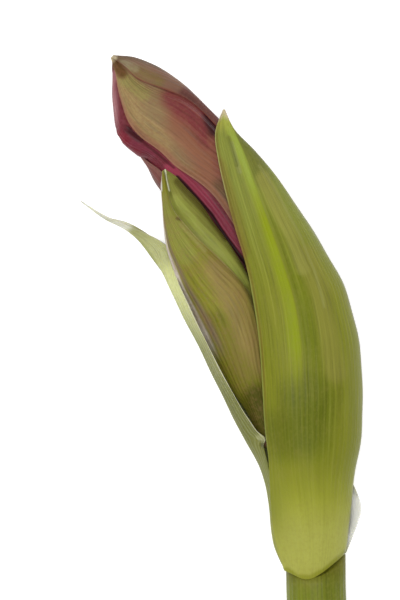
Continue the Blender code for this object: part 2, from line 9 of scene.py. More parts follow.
import bpy
import numpy as np
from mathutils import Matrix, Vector


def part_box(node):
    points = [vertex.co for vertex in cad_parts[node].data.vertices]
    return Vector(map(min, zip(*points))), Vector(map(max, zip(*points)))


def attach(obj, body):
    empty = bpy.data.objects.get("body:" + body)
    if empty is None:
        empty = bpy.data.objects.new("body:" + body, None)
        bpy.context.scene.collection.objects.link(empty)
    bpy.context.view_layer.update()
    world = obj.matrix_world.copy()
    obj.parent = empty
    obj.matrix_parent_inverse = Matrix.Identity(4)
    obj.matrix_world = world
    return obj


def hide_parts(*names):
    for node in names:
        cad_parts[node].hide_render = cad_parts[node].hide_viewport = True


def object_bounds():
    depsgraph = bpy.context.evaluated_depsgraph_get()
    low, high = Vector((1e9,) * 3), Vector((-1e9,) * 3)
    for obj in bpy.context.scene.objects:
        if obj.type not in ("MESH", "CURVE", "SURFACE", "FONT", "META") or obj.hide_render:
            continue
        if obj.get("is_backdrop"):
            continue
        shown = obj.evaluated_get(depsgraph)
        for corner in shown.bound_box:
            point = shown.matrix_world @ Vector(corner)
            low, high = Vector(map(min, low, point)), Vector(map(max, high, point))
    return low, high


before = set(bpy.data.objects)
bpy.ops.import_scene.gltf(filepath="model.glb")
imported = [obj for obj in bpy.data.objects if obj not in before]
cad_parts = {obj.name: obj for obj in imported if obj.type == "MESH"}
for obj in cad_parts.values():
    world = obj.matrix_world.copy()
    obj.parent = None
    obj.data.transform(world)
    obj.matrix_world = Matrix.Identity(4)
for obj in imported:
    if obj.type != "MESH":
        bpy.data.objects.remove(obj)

cad_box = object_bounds()
print("nodes:", len(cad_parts), "size (m):", [round(b - a, 4) for a, b in zip(*cad_box)])

# %% [markdown]
# ## The flower's own axes
#
# Plants are easier to draw in millimetres, with y along the flower and zero at the base of
# the spathe. The scape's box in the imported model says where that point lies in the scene,
# so nothing is fitted by eye.

# %% The flower's axes, from the scape's box
MM = 0.001
SURFACE_Z = -15.2
SCAPE_BOTTOM_Y = -150.0
SCAPE_OFFSET_X = 0.6

scape_low, scape_high = (np.array(corner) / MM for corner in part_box("scape"))
flower_shift = np.array([
    (scape_low[0] + scape_high[0]) / 2 - SCAPE_OFFSET_X,
    scape_low[1] - SCAPE_BOTTOM_Y,
    scape_low[2] - SURFACE_Z,
])
print("flower's zero in the scene (mm):", flower_shift.round(3))


# %% [markdown]
# ## Small tools for shapes that grow
#
# A leaf or a petal has no straight line in it. Its edges are drawn as a few points, and a
# Catmull-Rom spline runs smoothly through them. Eased steps and soft bands say where a
# colour or a fold begins and ends.

# %% Curves, steps and bands
def smoothstep(value):
    """Ease from 0 to 1, level at both ends: 3t^2 - 2t^3 with t held between 0 and 1."""
    value = np.clip(value, 0.0, 1.0)
    return value * value * (3.0 - 2.0 * value)


def eased_in(value, start, length):
    """The eased step that leaves 0 at start and reaches 1 a length further on."""
    return smoothstep((value - start) / length)


def eased_out(value, start, length):
    """The eased step that leaves 1 at start and reaches 0 a length further on."""
    return 1.0 - smoothstep((value - start) / length)


def along(points, fraction):
    """The Catmull-Rom curve through points, evenly spaced in fraction from 0 to 1.

    Between two points it is the cubic that meets both, with the slope at each equal to
    half the step between that point's neighbours."""
    points = np.asarray(points, dtype=float)
    last = len(points) - 1
    place = np.clip(np.asarray(fraction, dtype=float), 0.0, 1.0) * last
    index = np.minimum(place.astype(int), last - 1)
    step = place - index
    step = step.reshape(step.shape + (1,) * (points.ndim - 1))
    before = points[np.maximum(index - 1, 0)]
    start = points[index]
    end = points[index + 1]
    after = points[np.minimum(index + 2, last)]
    slope_start = (end - before) / 2
    slope_end = (after - start) / 2
    chord = end - start
    return (start + slope_start * step + (3 * chord - 2 * slope_start - slope_end) * step ** 2
            + (slope_start + slope_end - 2 * chord) * step ** 3)


def band(value, centre, width):
    """A soft band: the bell exp(-((value - centre) / width)^2)."""
    return np.exp(-((value - centre) / width) ** 2)


def distance_to(points, path):
    """Least distance in the plan view from each point to a path of straight pieces.

    Each point is dropped square onto every piece and held between its two ends."""
    path = np.asarray(path, dtype=float)
    spot = points[..., None, :2]
    start, step = path[:-1], np.diff(path, axis=0)
    share = np.sum((spot - start) * step, axis=-1) / np.sum(step ** 2, axis=-1)
    foot = start + np.clip(share, 0.0, 1.0)[..., None] * step
    return np.linalg.norm(spot - foot, axis=-1).min(axis=-1)


def near(points, path, reach):
    """A brush stroke: 1 out to 0.3 of the reach from the path, then eased to 0 at the reach."""
    return 1.0 - smoothstep((distance_to(points, path) / reach - 0.3) / 0.7)


def strokes(points, table):
    """One mask for each named stroke of a table of paths and reaches."""
    return {name: near(points, path, reach) for name, (path, reach) in table.items()}


def ripple(points):
    """Slow unevenness from -1 to 1: the mean of three crossing sine waves, 13 to 17 mm long."""
    x, y = points[..., 0], points[..., 1]
    return (np.sin(0.41 * x + 0.13 * y) + np.sin(0.29 * y - 0.23 * x + 1.3)
            + np.sin(0.11 * x - 0.47 * y + 2.1)) / 3.0


# %% [markdown]
# ## From two grids to one blade
#
# Every valve and tepal is a thin blade with a right side and a back. Both are grids of
# points that match one to one, and a strip round the rim closes them. The grid's own rows
# and columns become the UV map, so veins can follow the blade from base to tip, and each
# mask, such as where the blade blushes, is kept as a named attribute on the points.

# %% Closing two grids into a blade
EDGE_THICKNESS = 0.16


def grid_quads(rows, columns):
    """Corner numbers of every square of a grid that is stored row by row."""
    number = np.arange(rows * columns).reshape(rows, columns)
    corners = (number[:-1, :-1], number[1:, :-1], number[1:, 1:], number[:-1, 1:])
    return np.stack([corner.ravel() for corner in corners], axis=-1)


def rim_numbers(rows, columns):
    """Point numbers once round the grid's edge, starting along its first row."""
    number = np.arange(rows * columns).reshape(rows, columns)
    sides = (number[0, :-1], number[:-1, -1], number[-1, :0:-1], number[:0:-1, 0])
    return np.concatenate(sides)


def signed_volume(points, quads):
    """Six times the volume inside: the sum of the triple products of the split quads."""
    a, b, c, d = (points[quads[:, i]] for i in range(4))
    return np.sum(a * np.cross(b, c)) + np.sum(a * np.cross(c, d))


def flower_mesh(name, points, quads, corner_uv, masks):
    """A mesh object from points in the flower's millimetres, with a UV map and masks."""
    if signed_volume(points, quads) < 0.0:
        quads, corner_uv = quads[:, ::-1], corner_uv[:, ::-1]
    mesh = bpy.data.meshes.new(name)
    mesh.from_pydata((points + flower_shift) * MM, [], quads)
    mesh.update()
    layer = mesh.uv_layers.new(name="blade")
    layer.data.foreach_set("uv", corner_uv.ravel().astype(np.float32))
    for mask_name, values in masks.items():
        attribute = mesh.attributes.new(mask_name, "FLOAT", "POINT")
        attribute.data.foreach_set("value", values.ravel().astype(np.float32))
    mesh.shade_smooth()
    piece = bpy.data.objects.new(name, mesh)
    bpy.context.scene.collection.objects.link(piece)
    return piece


def blade(name, outer, inner, across, lengthwise, masks):
    """Close two matching grids into one thin body and print how large it is."""
    rows, columns = outer.shape[:2]
    outer = outer.copy()
    inner = inner.copy()
    outer[..., 2] = np.maximum(outer[..., 2], SURFACE_Z)
    inner[..., 2] = np.maximum(inner[..., 2], SURFACE_Z + EDGE_THICKNESS)
    count = rows * columns
    faces = grid_quads(rows, columns)
    rim = rim_numbers(rows, columns)
    ahead = np.roll(rim, -1)
    strip = np.stack([rim, ahead, ahead + count, rim + count], axis=-1)
    quads = np.concatenate([faces, faces[:, ::-1] + count, strip])
    points = np.concatenate([outer.reshape(-1, 3), inner.reshape(-1, 3)])
    uv = np.stack(np.broadcast_arrays(across, lengthwise), axis=-1).reshape(-1, 2)
    uv = np.concatenate([uv, uv])
    both = {}
    for mask_name, values in masks.items():
        values = np.broadcast_to(values, (rows, columns)).ravel()
        both[mask_name] = np.concatenate([values, values])
    both["inside"] = np.concatenate([np.zeros(count), np.ones(count)])
    piece = flower_mesh(name, points, quads, uv[quads], both)
    print(f"{name}: {rows} x {columns} points a side, {len(quads)} faces")
    return piece


# %% [markdown]
# ## Small tools for skins
#
# The colours are worked out by little networks of nodes. A node's input takes either the
# output of another node or a plain number, so one tool feeds both, and a few more make the
# nodes that every skin needs.

# %% Small tools for node trees
SOCKET_KINDS = {"value": "NodeSocketFloat", "colour": "NodeSocketColor"}


def new_group(name, inputs, outputs):
    """A node group with named inputs and outputs, and both as seen from inside it."""
    group = bpy.data.node_groups.new(name, "ShaderNodeTree")
    for direction, sockets in (("INPUT", inputs), ("OUTPUT", outputs)):
        for socket_name, kind in sockets.items():
            group.interface.new_socket(
                socket_name, in_out=direction, socket_type=SOCKET_KINDS[kind])
    entry = group.nodes.new("NodeGroupInput")
    leave = group.nodes.new("NodeGroupOutput")
    return group, entry.outputs, leave.inputs


def feed(tree, socket, value):
    """Link a socket to a value that is a socket too, or else give it the plain value."""
    if isinstance(value, bpy.types.NodeSocket):
        tree.links.new(value, socket)
    else:
        socket.default_value = value


def math_node(tree, operation, *values):
    """A Math node on sockets or plain numbers; gives its output."""
    node = tree.nodes.new("ShaderNodeMath")
    node.operation = operation
    for place, value in enumerate(values):
        feed(tree, node.inputs[place], value)
    return node.outputs[0]


def range_node(tree, value, low, high, to_low=0.0, to_high=1.0):
    """Map a value from low..high to to_low..to_high, held at both ends."""
    node = tree.nodes.new("ShaderNodeMapRange")
    for socket, number in (("Value", value), ("From Min", low), ("From Max", high),
                           ("To Min", to_low), ("To Max", to_high)):
        feed(tree, node.inputs[socket], number)
    return node.outputs["Result"]


def mix_node(tree, factor, first, second):
    """The first colour mixed with the second by the factor."""
    node = tree.nodes.new("ShaderNodeMix")
    node.data_type = "RGBA"
    for socket, value in (("Factor", factor), ("A", first), ("B", second)):
        feed(tree, node.inputs[socket], value)
    return node.outputs["Result"]


def noise_node(tree, place, scale, detail, roughness=0.5):
    """Soft noise at a place; gives its value, about a half on average."""
    node = tree.nodes.new("ShaderNodeTexNoise")
    for socket, value in (("Vector", place), ("Scale", scale), ("Detail", detail),
                          ("Roughness", roughness)):
        feed(tree, node.inputs[socket], value)
    return node.outputs["Fac"]


def group_node(tree, group, values):
    """A node of a group with its inputs fed by name; gives its outputs."""
    node = tree.nodes.new("ShaderNodeGroup")
    node.node_tree = group
    for socket, value in values.items():
        feed(tree, node.inputs[socket], value)
    return node.outputs


# %% [markdown]
# ## Veins that run from base to tip
#
# Amaryllis belongs to the plants with parallel veins. Up close the skin is a row of fine
# ribs that run the whole length, with streaks between them that fade in and out. The ribs
# are a cosine across the blade, and noise that is squeezed across and stretched along
# gives the streaks. All the skins use them, so they are a node group with its own inputs.

# %% A node group for ribs and streaks
SLOW_STREAKS = (0.45, 2.5, 3.0)
FINE_STREAKS = (1.9, 7.0, 4.0)
STREAK_ROUGHNESS = 0.6
RIB_BUMP = 0.07


def streak_field_group():
    """Ribs = cos(2 pi count u), shown where slow streaks allow; Streak = stretched noise.

    A kind of streak has its waves a rib, its waves along the blade, and its detail."""
    group, entry, leave = new_group("ribs and streaks", {"Count": "value"}, {
        "Ribs": "value", "Streak": "value", "Fine": "value", "Height": "value"})
    uv_map = group.nodes.new("ShaderNodeUVMap")
    uv_map.uv_map = "blade"
    parts = group.nodes.new("ShaderNodeSeparateXYZ")
    group.links.new(uv_map.outputs["UV"], parts.inputs[0])
    u, v, count = parts.outputs["X"], parts.outputs["Y"], entry["Count"]

    noises = []
    for waves, stretch, detail in (SLOW_STREAKS, FINE_STREAKS):
        place = group.nodes.new("ShaderNodeCombineXYZ")
        wide = math_node(group, "MULTIPLY", u, math_node(group, "MULTIPLY", count, waves))
        feed(group, place.inputs["X"], wide)
        feed(group, place.inputs["Y"], math_node(group, "MULTIPLY", v, stretch))
        noises.append(noise_node(group, place.outputs[0], 1.0, detail, STREAK_ROUGHNESS))
    slow, fine = noises

    turns = math_node(group, "MULTIPLY", u, count)
    wave = math_node(group, "COSINE", math_node(group, "MULTIPLY", turns, 2 * np.pi))
    crest = range_node(group, wave, 0.1, 1.0)
    shown = range_node(group, slow, 0.42, 0.62)
    feed(group, leave["Ribs"], math_node(group, "MULTIPLY", crest, shown))
    feed(group, leave["Streak"], range_node(group, slow, 0.3, 0.7))
    feed(group, leave["Fine"], range_node(group, fine, 0.3, 0.7))
    feed(group, leave["Height"], math_node(group, "MULTIPLY_ADD", wave, RIB_BUMP, fine))
    return group


ribs_and_streaks = streak_field_group()
print("node group:", ribs_and_streaks.name)


# %% [markdown]
# ## Washes of colour
#
# The flower is coloured like a watercolour: a green ground, then a wash of lime, wine or
# cream where a mask on the blade says so. On a real tepal the pigment follows the
# streaks, so the border of a wash is drawn out along them. One small group lays one wash.

# %% A node group for one wash
RAGGEDNESS = 1.1


def wash_group():
    """Mix Colour with Wash by mask * strength, plus streaks where that is near a half."""
    group, entry, leave = new_group("one wash", {
        "Colour": "colour", "Wash": "colour", "Mask": "value", "Strength": "value",
        "Streak": "value"}, {"Colour": "colour"})
    amount = math_node(group, "MULTIPLY", entry["Mask"], entry["Strength"])
    rest = math_node(group, "SUBTRACT", 1.0, amount)
    halfway = math_node(group, "MULTIPLY", amount, rest)
    offset = math_node(group, "SUBTRACT", entry["Streak"], 0.5)
    ragged = math_node(group, "MULTIPLY", math_node(group, "MULTIPLY", halfway, offset),
                       RAGGEDNESS)
    total = math_node(group, "ADD", amount, ragged)
    total.node.use_clamp = True
    feed(group, leave["Colour"], mix_node(group, total, entry["Colour"], entry["Wash"]))
    return group


one_wash = wash_group()
print("node group:", one_wash.name)


# %% [markdown]
# ## Cells and specks
#
# Between the veins the skin is made of tiny cells. Where red sap gathers in some of them,
# a crimson petal glitters and a green one looks dusted with brown. This is noise in the
# object's own space, about half a millimetre across, also shared by every skin.

# %% A node group for cells and specks
def cell_speck_group():
    """Mix in a second colour where fine noise in object space passes a threshold."""
    group, entry, leave = new_group("cells and specks", {
        "Colour": "colour", "Speck": "colour", "Amount": "value", "Per metre": "value",
    }, {"Colour": "colour", "Height": "value"})
    place = group.nodes.new("ShaderNodeTexCoord")
    noise = noise_node(group, place.outputs["Object"], entry["Per metre"], 2.0)
    spread = range_node(group, noise, 0.46, 0.66)
    amount = math_node(group, "MULTIPLY", spread, entry["Amount"])
    feed(group, leave["Colour"], mix_node(group, amount, entry["Colour"], entry["Speck"]))
    feed(group, leave["Height"], noise)
    return group


cells_and_specks = cell_speck_group()
print("node group:", cells_and_specks.name)


# %% [markdown]
# ## One way to make a skin
#
# A skin is a ground colour, its washes, pale ribs, dark streaks, soft blotches and specks.
# Their heights make a shallow bump. The skin is thin and wet inside, so a little light
# goes through it, and its wax gives it a low shine. The colours below are noted as they
# look on the table, and pigment() takes the light off them again.

# %% A skin from a colour and its washes
LIGHT_LEVEL = 1.3
BLOTCHES_PER_METRE = 170.0
SPECKS_PER_METRE = 1300.0
SPECK_BUMP = 0.2
BUMP_STRENGTH = 0.3
SKIN_BUMP_DISTANCE = 0.0005
ROUGHNESS_SPREAD = 0.08
WAX_SHINE = 0.13
LIGHT_REACH = (1.0, 0.9, 0.3)
LIGHT_REACH_SCALE = 0.0008


def pigment(colour):
    """The skin's own colour: the colour as it looks, over the level of the light."""
    return (*(channel / LIGHT_LEVEL for channel in colour), 1.0)


def new_material(name):
    """A new material, its node tree and its Principled shader."""
    material = bpy.data.materials.new(name)
    material.use_nodes = True
    return material, material.node_tree, material.node_tree.nodes["Principled BSDF"]


def bump_skin(tree, shader, height, distance):
    """Let a height stand out of the skin as a shallow bump."""
    bump = tree.nodes.new("ShaderNodeBump")
    for socket, value in (("Strength", BUMP_STRENGTH), ("Distance", distance),
                          ("Height", height)):
        feed(tree, bump.inputs[socket], value)
    tree.links.new(bump.outputs["Normal"], shader.inputs["Normal"])


def plant_skin(name, ground, washes, pale, count, ribs, lift, drop, speck, specks, blotches,
               roughness, sway=0.15, through=0.12, calm=None, sheer=None, shades=()):
    """A Principled skin: ground, washes of (mask, colour, strength), ribs and specks, and
    last the shades, which are washes for the folds and gaps where no light gets in.

    The tone is 1 + lift * ribs - drop * furrows + sway * (streaks - 1/2), all of it weaker
    where the mask calm is high. The skin is see-through where the mask sheer is high."""
    material, tree, shader = new_material(name)
    field = group_node(tree, ribs_and_streaks, {"Count": count})

    def attribute(mask_name):
        """The value of one of the blade's masks."""
        mask = tree.nodes.new("ShaderNodeAttribute")
        mask.attribute_name = mask_name
        return mask.outputs["Fac"]

    def lay(colour, tint, mask, strength):
        """Lay one wash over the colour so far."""
        return group_node(tree, one_wash, {
            "Colour": colour, "Wash": pigment(tint), "Mask": mask, "Strength": strength,
            "Streak": field["Streak"]})["Colour"]

    colour = pigment(ground)
    for mask_name, tint, strength in washes:
        colour = lay(colour, tint, attribute(mask_name), strength)
    colour = lay(colour, pale, field["Ribs"], ribs)
    furrow = range_node(tree, field["Fine"], 0.55, 0.15)
    tone = math_node(tree, "MULTIPLY_ADD", field["Ribs"], lift, -sway / 2)
    tone = math_node(tree, "MULTIPLY_ADD", furrow, -drop, tone)
    tone = math_node(tree, "MULTIPLY_ADD", field["Streak"], sway, tone)
    if calm:
        stilled = range_node(tree, attribute(calm), 0.0, 1.0, 1.0, 0.25)
        tone = math_node(tree, "MULTIPLY", tone, stilled)
    toned = tree.nodes.new("ShaderNodeVectorMath")
    toned.operation = "SCALE"
    feed(tree, toned.inputs[0], colour)
    feed(tree, toned.inputs["Scale"], math_node(tree, "ADD", tone, 1.0))
    colour = toned.outputs[0]

    for per_metre, amount in ((BLOTCHES_PER_METRE, blotches), (SPECKS_PER_METRE, specks)):
        cells = group_node(tree, cells_and_specks, {
            "Colour": colour, "Speck": pigment(speck), "Amount": amount,
            "Per metre": per_metre})
        colour = cells["Colour"]
    for mask_name, tint, strength in shades:
        colour = lay(colour, tint, attribute(mask_name), strength)

    height = math_node(tree, "MULTIPLY_ADD", cells["Height"], SPECK_BUMP, field["Height"])
    bump_skin(tree, shader, height, SKIN_BUMP_DISTANCE)
    gloss = range_node(tree, field["Fine"], 0.0, 1.0,
                       roughness - ROUGHNESS_SPREAD, roughness + ROUGHNESS_SPREAD)
    for socket, value in (
            ("Base Color", colour), ("Roughness", gloss), ("Specular IOR Level", WAX_SHINE),
            ("Subsurface Weight", through), ("Subsurface Radius", LIGHT_REACH),
            ("Subsurface Scale", LIGHT_REACH_SCALE)):
        feed(tree, shader.inputs[socket], value)
    if sheer:
        clear = range_node(tree, attribute(sheer), 0.0, 1.0, 1.0, 0.3)
        feed(tree, shader.inputs["Alpha"], clear)
    return material


def dress(piece, node, material):
    """Put a finished piece in the place of its node: its material, its body, and its node hidden.
    """
    piece.data.materials.append(material)
    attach(piece, "root")
    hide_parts(node)
    return piece


# %% [markdown]
# ## The scape
#
# The scape is the leafless stalk: a hollow tube with smooth, faintly ribbed walls, cut
# square. Its bore and its outside are one surface, made of rings. They run down the bore
# to the cut, over the cut face, and up the outside to the shoulder inside the spathe.

# %% The scape's middle line and rings
COLLAR_Z = -3.0
SCAPE_RADIUS = 7.6
SCAPE_NECK_RADIUS = 7.1
SCAPE_RISE_FROM_Y = -50.0
SCAPE_RISE_TO_Y = 2.0
SCAPE_NECK_Y = -2.4
COLLAR_EDGE = (2.0, 1.65, -0.85, 1.35)
# Each shoulder ring has its rise over the collar's edge and its radius, each top ring its
# y and its radius.
SHOULDER_RINGS = ((-0.2, 7.1), (-0.1, 6.35), (0.1, 5.6), (0.6, 5.35), (1.3, 5.1))
TOP_RINGS = ((7.4, 4.7), (8.0, 4.0), (8.0, 2.0), (8.0, 0.05))
BORE_RADIUS = 4.6
BORE_END_Y = -28.0
SCAPE_SIDES = 168
SCAPE_RIBS = 28
CUT_DISH = 0.3
CUT_BEVEL = 0.12
SCAPE_RIB_HEIGHT = 0.08
SCAPE_BEND_FROM_Y = -20.0
SCAPE_BEND_LENGTH = 22.0
BORE_NOSE = 6.0
NOSE_CLOSURE = 0.9999
BORE_BENT_RINGS, BORE_STRAIGHT_RINGS = 24, 30
CUT_RINGS = 8
SKIN_STRAIGHT_RINGS, SKIN_BENT_RINGS = 60, 40


def scape_middle(y):
    """Middle of the scape: flat on the surface, then an eased rise to the spathe's base."""
    rise = eased_in(y, SCAPE_RISE_FROM_Y, SCAPE_RISE_TO_Y - SCAPE_RISE_FROM_Y)
    low_z = SURFACE_Z + SCAPE_RADIUS
    x = SCAPE_OFFSET_X * eased_out(y, SCAPE_BEND_FROM_Y, SCAPE_BEND_LENGTH)
    return np.stack([x, y, low_z + (COLLAR_Z - low_z) * rise], axis=-1)


def collar_edge(turn):
    """Height of the collar's lower edge round the scape: a mean and three waves of turn."""
    mean, sideways, upward, twofold = COLLAR_EDGE
    return mean + sideways * np.cos(turn) + upward * np.sin(turn) + twofold * np.cos(2 * turn)


def scape_rings():
    """Rings along the bore to the cut, over the cut face, up the outside and the shoulder.

    Each ring is the middle + radius * (cos turn, 0, sin turn), with ribs of cos(28 turn).
    The bore ends in a half ellipse."""
    turn = np.arange(SCAPE_SIDES) * 2 * np.pi / SCAPE_SIDES - np.pi / 2
    ring = np.stack([np.cos(turn), np.zeros_like(turn), np.sin(turn)], axis=-1)

    bore_y = np.concatenate([
        np.linspace(BORE_END_Y, SCAPE_RISE_FROM_Y, BORE_BENT_RINGS),
        np.linspace(SCAPE_RISE_FROM_Y, SCAPE_BOTTOM_Y + CUT_DISH, BORE_STRAIGHT_RINGS)[1:],
    ])
    closing = np.clip((bore_y - BORE_END_Y + BORE_NOSE) / BORE_NOSE, 0.0, 1.0)
    bore_radius = BORE_RADIUS * np.sqrt(1.0 - NOSE_CLOSURE * closing ** 2)
    bore = scape_middle(bore_y)[:, None] + bore_radius[:, None, None] * ring

    share = np.linspace(0.0, 1.0, CUT_RINGS + 1)[1:]
    face = scape_middle(SCAPE_BOTTOM_Y + CUT_DISH * (1.0 - share) ** 2)
    face_radius = BORE_RADIUS + (SCAPE_RADIUS - CUT_BEVEL - BORE_RADIUS) * share
    face = face[:, None] + face_radius[:, None, None] * ring

    y = np.concatenate([
        [SCAPE_BOTTOM_Y + CUT_BEVEL],
        np.linspace(SCAPE_BOTTOM_Y + 1.0, SCAPE_RISE_FROM_Y, SKIN_STRAIGHT_RINGS),
        np.linspace(SCAPE_RISE_FROM_Y, SCAPE_NECK_Y, SKIN_BENT_RINGS)[1:],
    ])
    taper = eased_in(y, SCAPE_RISE_FROM_Y, SCAPE_NECK_Y - SCAPE_RISE_FROM_Y)
    radius = SCAPE_RADIUS + (SCAPE_NECK_RADIUS - SCAPE_RADIUS) * taper
    ribs = SCAPE_RIB_HEIGHT * (np.cos(SCAPE_RIBS * turn) - 1.0) / 2
    skin = scape_middle(y)[:, None] + (radius[:, None] + ribs)[..., None] * ring

    shoulder = []
    for rise, shoulder_radius in SHOULDER_RINGS:
        loop = scape_middle(np.zeros(SCAPE_SIDES)) + shoulder_radius * ring
        loop[:, 1] = collar_edge(turn) + rise
        shoulder.append(loop)
    for top_y, top_radius in TOP_RINGS:
        shoulder.append(scape_middle(np.full(SCAPE_SIDES, top_y)) + top_radius * ring)
    return bore, face, skin, np.array(shoulder)


# %% Joining the scape's rings
def ring_quads(count, sides):
    """Corner numbers and corner UVs of the quads between rings; u ends at 1, not at 0."""
    row, column = np.meshgrid(np.arange(count - 1), np.arange(sides), indexing="ij")
    row, column = row.ravel(), column.ravel()
    rows = np.stack([row, row, row + 1, row + 1], axis=-1)
    columns = np.stack([column, column + 1, column + 1, column], axis=-1)
    uv = np.stack([columns / sides, rows / (count - 1)], axis=-1)
    return rows * sides + columns % sides, uv


def end_fan(first, sides):
    """Quads that close one small ring: its left half is joined to its right half."""
    number = first + np.arange(sides)
    left, right = number[:sides // 2], number[::-1][:sides // 2]
    return np.stack([left[:-1], right[:-1], right[1:], left[1:]], axis=-1)


def scape_piece():
    """The whole scape, closed at the bore's end and at the top inside the spathe."""
    bore, face, skin, shoulder = scape_rings()
    rings = np.concatenate([bore, face, skin, shoulder])
    quads, uv = ring_quads(len(rings), SCAPE_SIDES)
    for fan in (end_fan(0, SCAPE_SIDES),
                end_fan((len(rings) - 1) * SCAPE_SIDES, SCAPE_SIDES)[:, ::-1]):
        quads = np.concatenate([quads, fan])
        uv = np.concatenate([uv, np.zeros((len(fan), 4, 2))])
    row = np.arange(len(rings))[:, None] * np.ones(SCAPE_SIDES)
    on_face = (row >= len(bore) - 1) & (row < len(bore) + len(face))
    outside = row >= len(bore) + len(face)
    y = rings[..., 1]
    masks = {
        "bore": (row < len(bore) - 1) * 1.0,
        "cut": on_face * 1.0,
        "cut_rim": band(row, len(bore) + len(face) - 2.0, 1.2),
        # painted shadow: the scape's top is darkened just below the collar that overhangs it
        "shadow_under_collar": eased_in(y, -4.0, 6.0) * outside,
        "lower": smoothstep(-(y + 20.0) / 110.0) * outside,
        "dry_end": smoothstep((SCAPE_BOTTOM_Y + 5.0 - y) / 5.0) * outside,
    }
    return flower_mesh("scape_tube", rings.reshape(-1, 3), quads, uv, masks)


# %% The scape and its skin
scape_tube = scape_piece()
print("scape_tube:", len(scape_tube.data.polygons), "faces")
scape_skin = plant_skin(
    "scape skin", (0.175, 0.205, 0.012),
    # the first wash is painted shadow just below the collar
    [("shadow_under_collar", (0.130, 0.118, 0.006), 0.8), ("lower", (0.20, 0.24, 0.040), 0.8),
     ("dry_end", (0.33, 0.33, 0.12), 0.7), ("bore", (0.52, 0.56, 0.34), 0.95),
     ("cut", (0.62, 0.66, 0.36), 1.0), ("cut_rim", (0.33, 0.40, 0.11), 0.7)],
    pale=(0.27, 0.31, 0.08), count=56.0, ribs=0.12, lift=0.12, drop=0.25,
    speck=(0.24, 0.23, 0.035), specks=0.3, blotches=0.3, roughness=0.45)
dress(scape_tube, "scape", scape_skin)

# %% [markdown]
# ## The front valve
#
# The valve nearest the eye is a stiff, boat-shaped bract. It has a soft keel, a narrow
# face to the left of it and a broad cheek to the right that turns away round the buds.
# Three lines carry it: the left margin, the keel and the right outline. Each cross
# section is a low arch up to the keel and then part of a full ellipse, which is how the
# light falls on it: bright and lime beside the keel, olive just past it. The washes paint
# some of it as well: the lime is partly painted light, the olive partly painted shade,
# and there is painted shade in the fold and a painted sheen along the right outline.

# %% The front valve's three lines and its section
FRONT_MARGIN = [
    (-7.1, 1.7, 0.4), (-8.6, 6.7, 1.8), (-10.0, 16.0, 4.0), (-11.0, 24.5, 6.0), (-12.4, 34.5, 8.2),
    (-13.1, 45.0, 9.9), (-13.8, 55.2, 10.3), (-15.1, 65.0, 9.6), (-16.8, 73.8, 8.0),
    (-19.5, 83.1, 5.6), (-21.9, 92.4, 2.8), (-23.3, 98.8, 0.9), (-24.0, 105.2, -0.5),
    (-22.2, 110.8, -1.2),
]
FRONT_KEEL = [
    (-1.9, -0.2, 4.6), (-1.9, 7.1, 6.8), (-2.6, 15.5, 9.6), (-3.8, 25.0, 11.6), (-4.3, 34.5, 13.0),
    (-4.5, 45.2, 13.6), (-5.0, 56.0, 13.3), (-6.2, 65.5, 12.2), (-8.8, 75.0, 10.4),
    (-11.9, 84.5, 7.8), (-15.2, 94.0, 5.0), (-17.4, 100.5, 3.0), (-19.8, 106.2, 1.0),
    (-21.9, 111.0, -1.0),
]
FRONT_OUTLINE = [
    (6.9, 5.0, -3.0), (7.6, 7.6, -3.0), (8.5, 16.0, -2.6), (9.5, 25.5, -2.2), (11.0, 35.0, -1.8),
    (11.2, 45.5, -1.5), (10.2, 56.4, -1.2), (7.6, 66.7, -0.8), (3.1, 76.0, -0.4),
    (-2.9, 85.5, 0.0), (-9.5, 95.0, -0.2), (-14.3, 100.7, -0.6), (-19.2, 106.0, -1.0),
    (-21.6, 110.8, -1.2),
]
FRONT_WRAP_DEGREES = (98, 106, 116, 122, 124, 124, 124, 124, 124, 124, 124, 124, 124, 124)
FRONT_WRAP_DEPTH = (5.6, 6.4, 7.0, 8.0, 9.0, 9.5, 9.0, 8.0, 7.0, 5.5, 4.0, 3.0, 1.6, 0.8)
SECTION_FULLNESS = 0.9
LEFT_FACE_ARCH = 0.5
SIDE_CLIMB = 1.4
BASE_THINNESS, TIP_THINNESS = 0.35, 0.2
KEEL_BREADTH_DEGREES = 15.0
VALVE_THICKNESS = 0.95
INSIDE_FRONT = np.array([-3.0, 40.0, 0.0])


# %% The inside of a valve, a thickness below its outside
def surface_normals(grid, inside):
    """Unit normals of a grid, from the cross product of its rows' and columns' slopes.
    They point away from the point inside."""
    normals = np.cross(np.gradient(grid, axis=0), np.gradient(grid, axis=1))
    normals /= np.maximum(np.linalg.norm(normals, axis=-1, keepdims=True), 1e-9)
    outward = np.sign(np.sum(normals * (grid - inside), axis=-1).mean())
    return normals * outward


def soften_across(grid, reach, weight):
    """Blend every row, by weight, with its Gaussian average over reach columns."""
    column = np.arange(grid.shape[1])
    kernel = np.exp(-0.5 * ((column[:, None] - column[None, :]) / reach) ** 2)
    kernel /= kernel.sum(axis=1, keepdims=True)
    rounded = np.einsum("ij,rjk->rik", kernel, grid)
    return grid + weight[..., None] * (rounded - grid)


def valve_blade(outer, relief, inside, across, lengthwise):
    """Raise a valve's outside by its relief, and set its inside a thickness below it.
    The thickness is a half sine across, and it is thinned towards the base and the tip."""
    normals = surface_normals(outer, inside)
    full = EDGE_THICKNESS + (VALVE_THICKNESS - EDGE_THICKNESS) * np.sin(np.pi * across)
    ends = BASE_THINNESS + (1.0 - BASE_THINNESS) * smoothstep(lengthwise / 0.05)
    ends *= TIP_THINNESS + (1.0 - TIP_THINNESS) * smoothstep((1.0 - lengthwise) / 0.12)
    raised = outer + normals * relief[..., None]
    return raised, outer - normals * (full * ends)[..., None]


# %% The front valve's outside
FRONT_ROWS, FRONT_LEFT, FRONT_RIGHT = 260, 44, 104
CREST_COLUMNS, KEEL_COLUMNS = 9.0, 30.0
CREST_SOFTENING, KEEL_SOFTENING = 3.0, 13.0
COLLAR_DIP = 1.25
LAP_WIDTH = 1.1


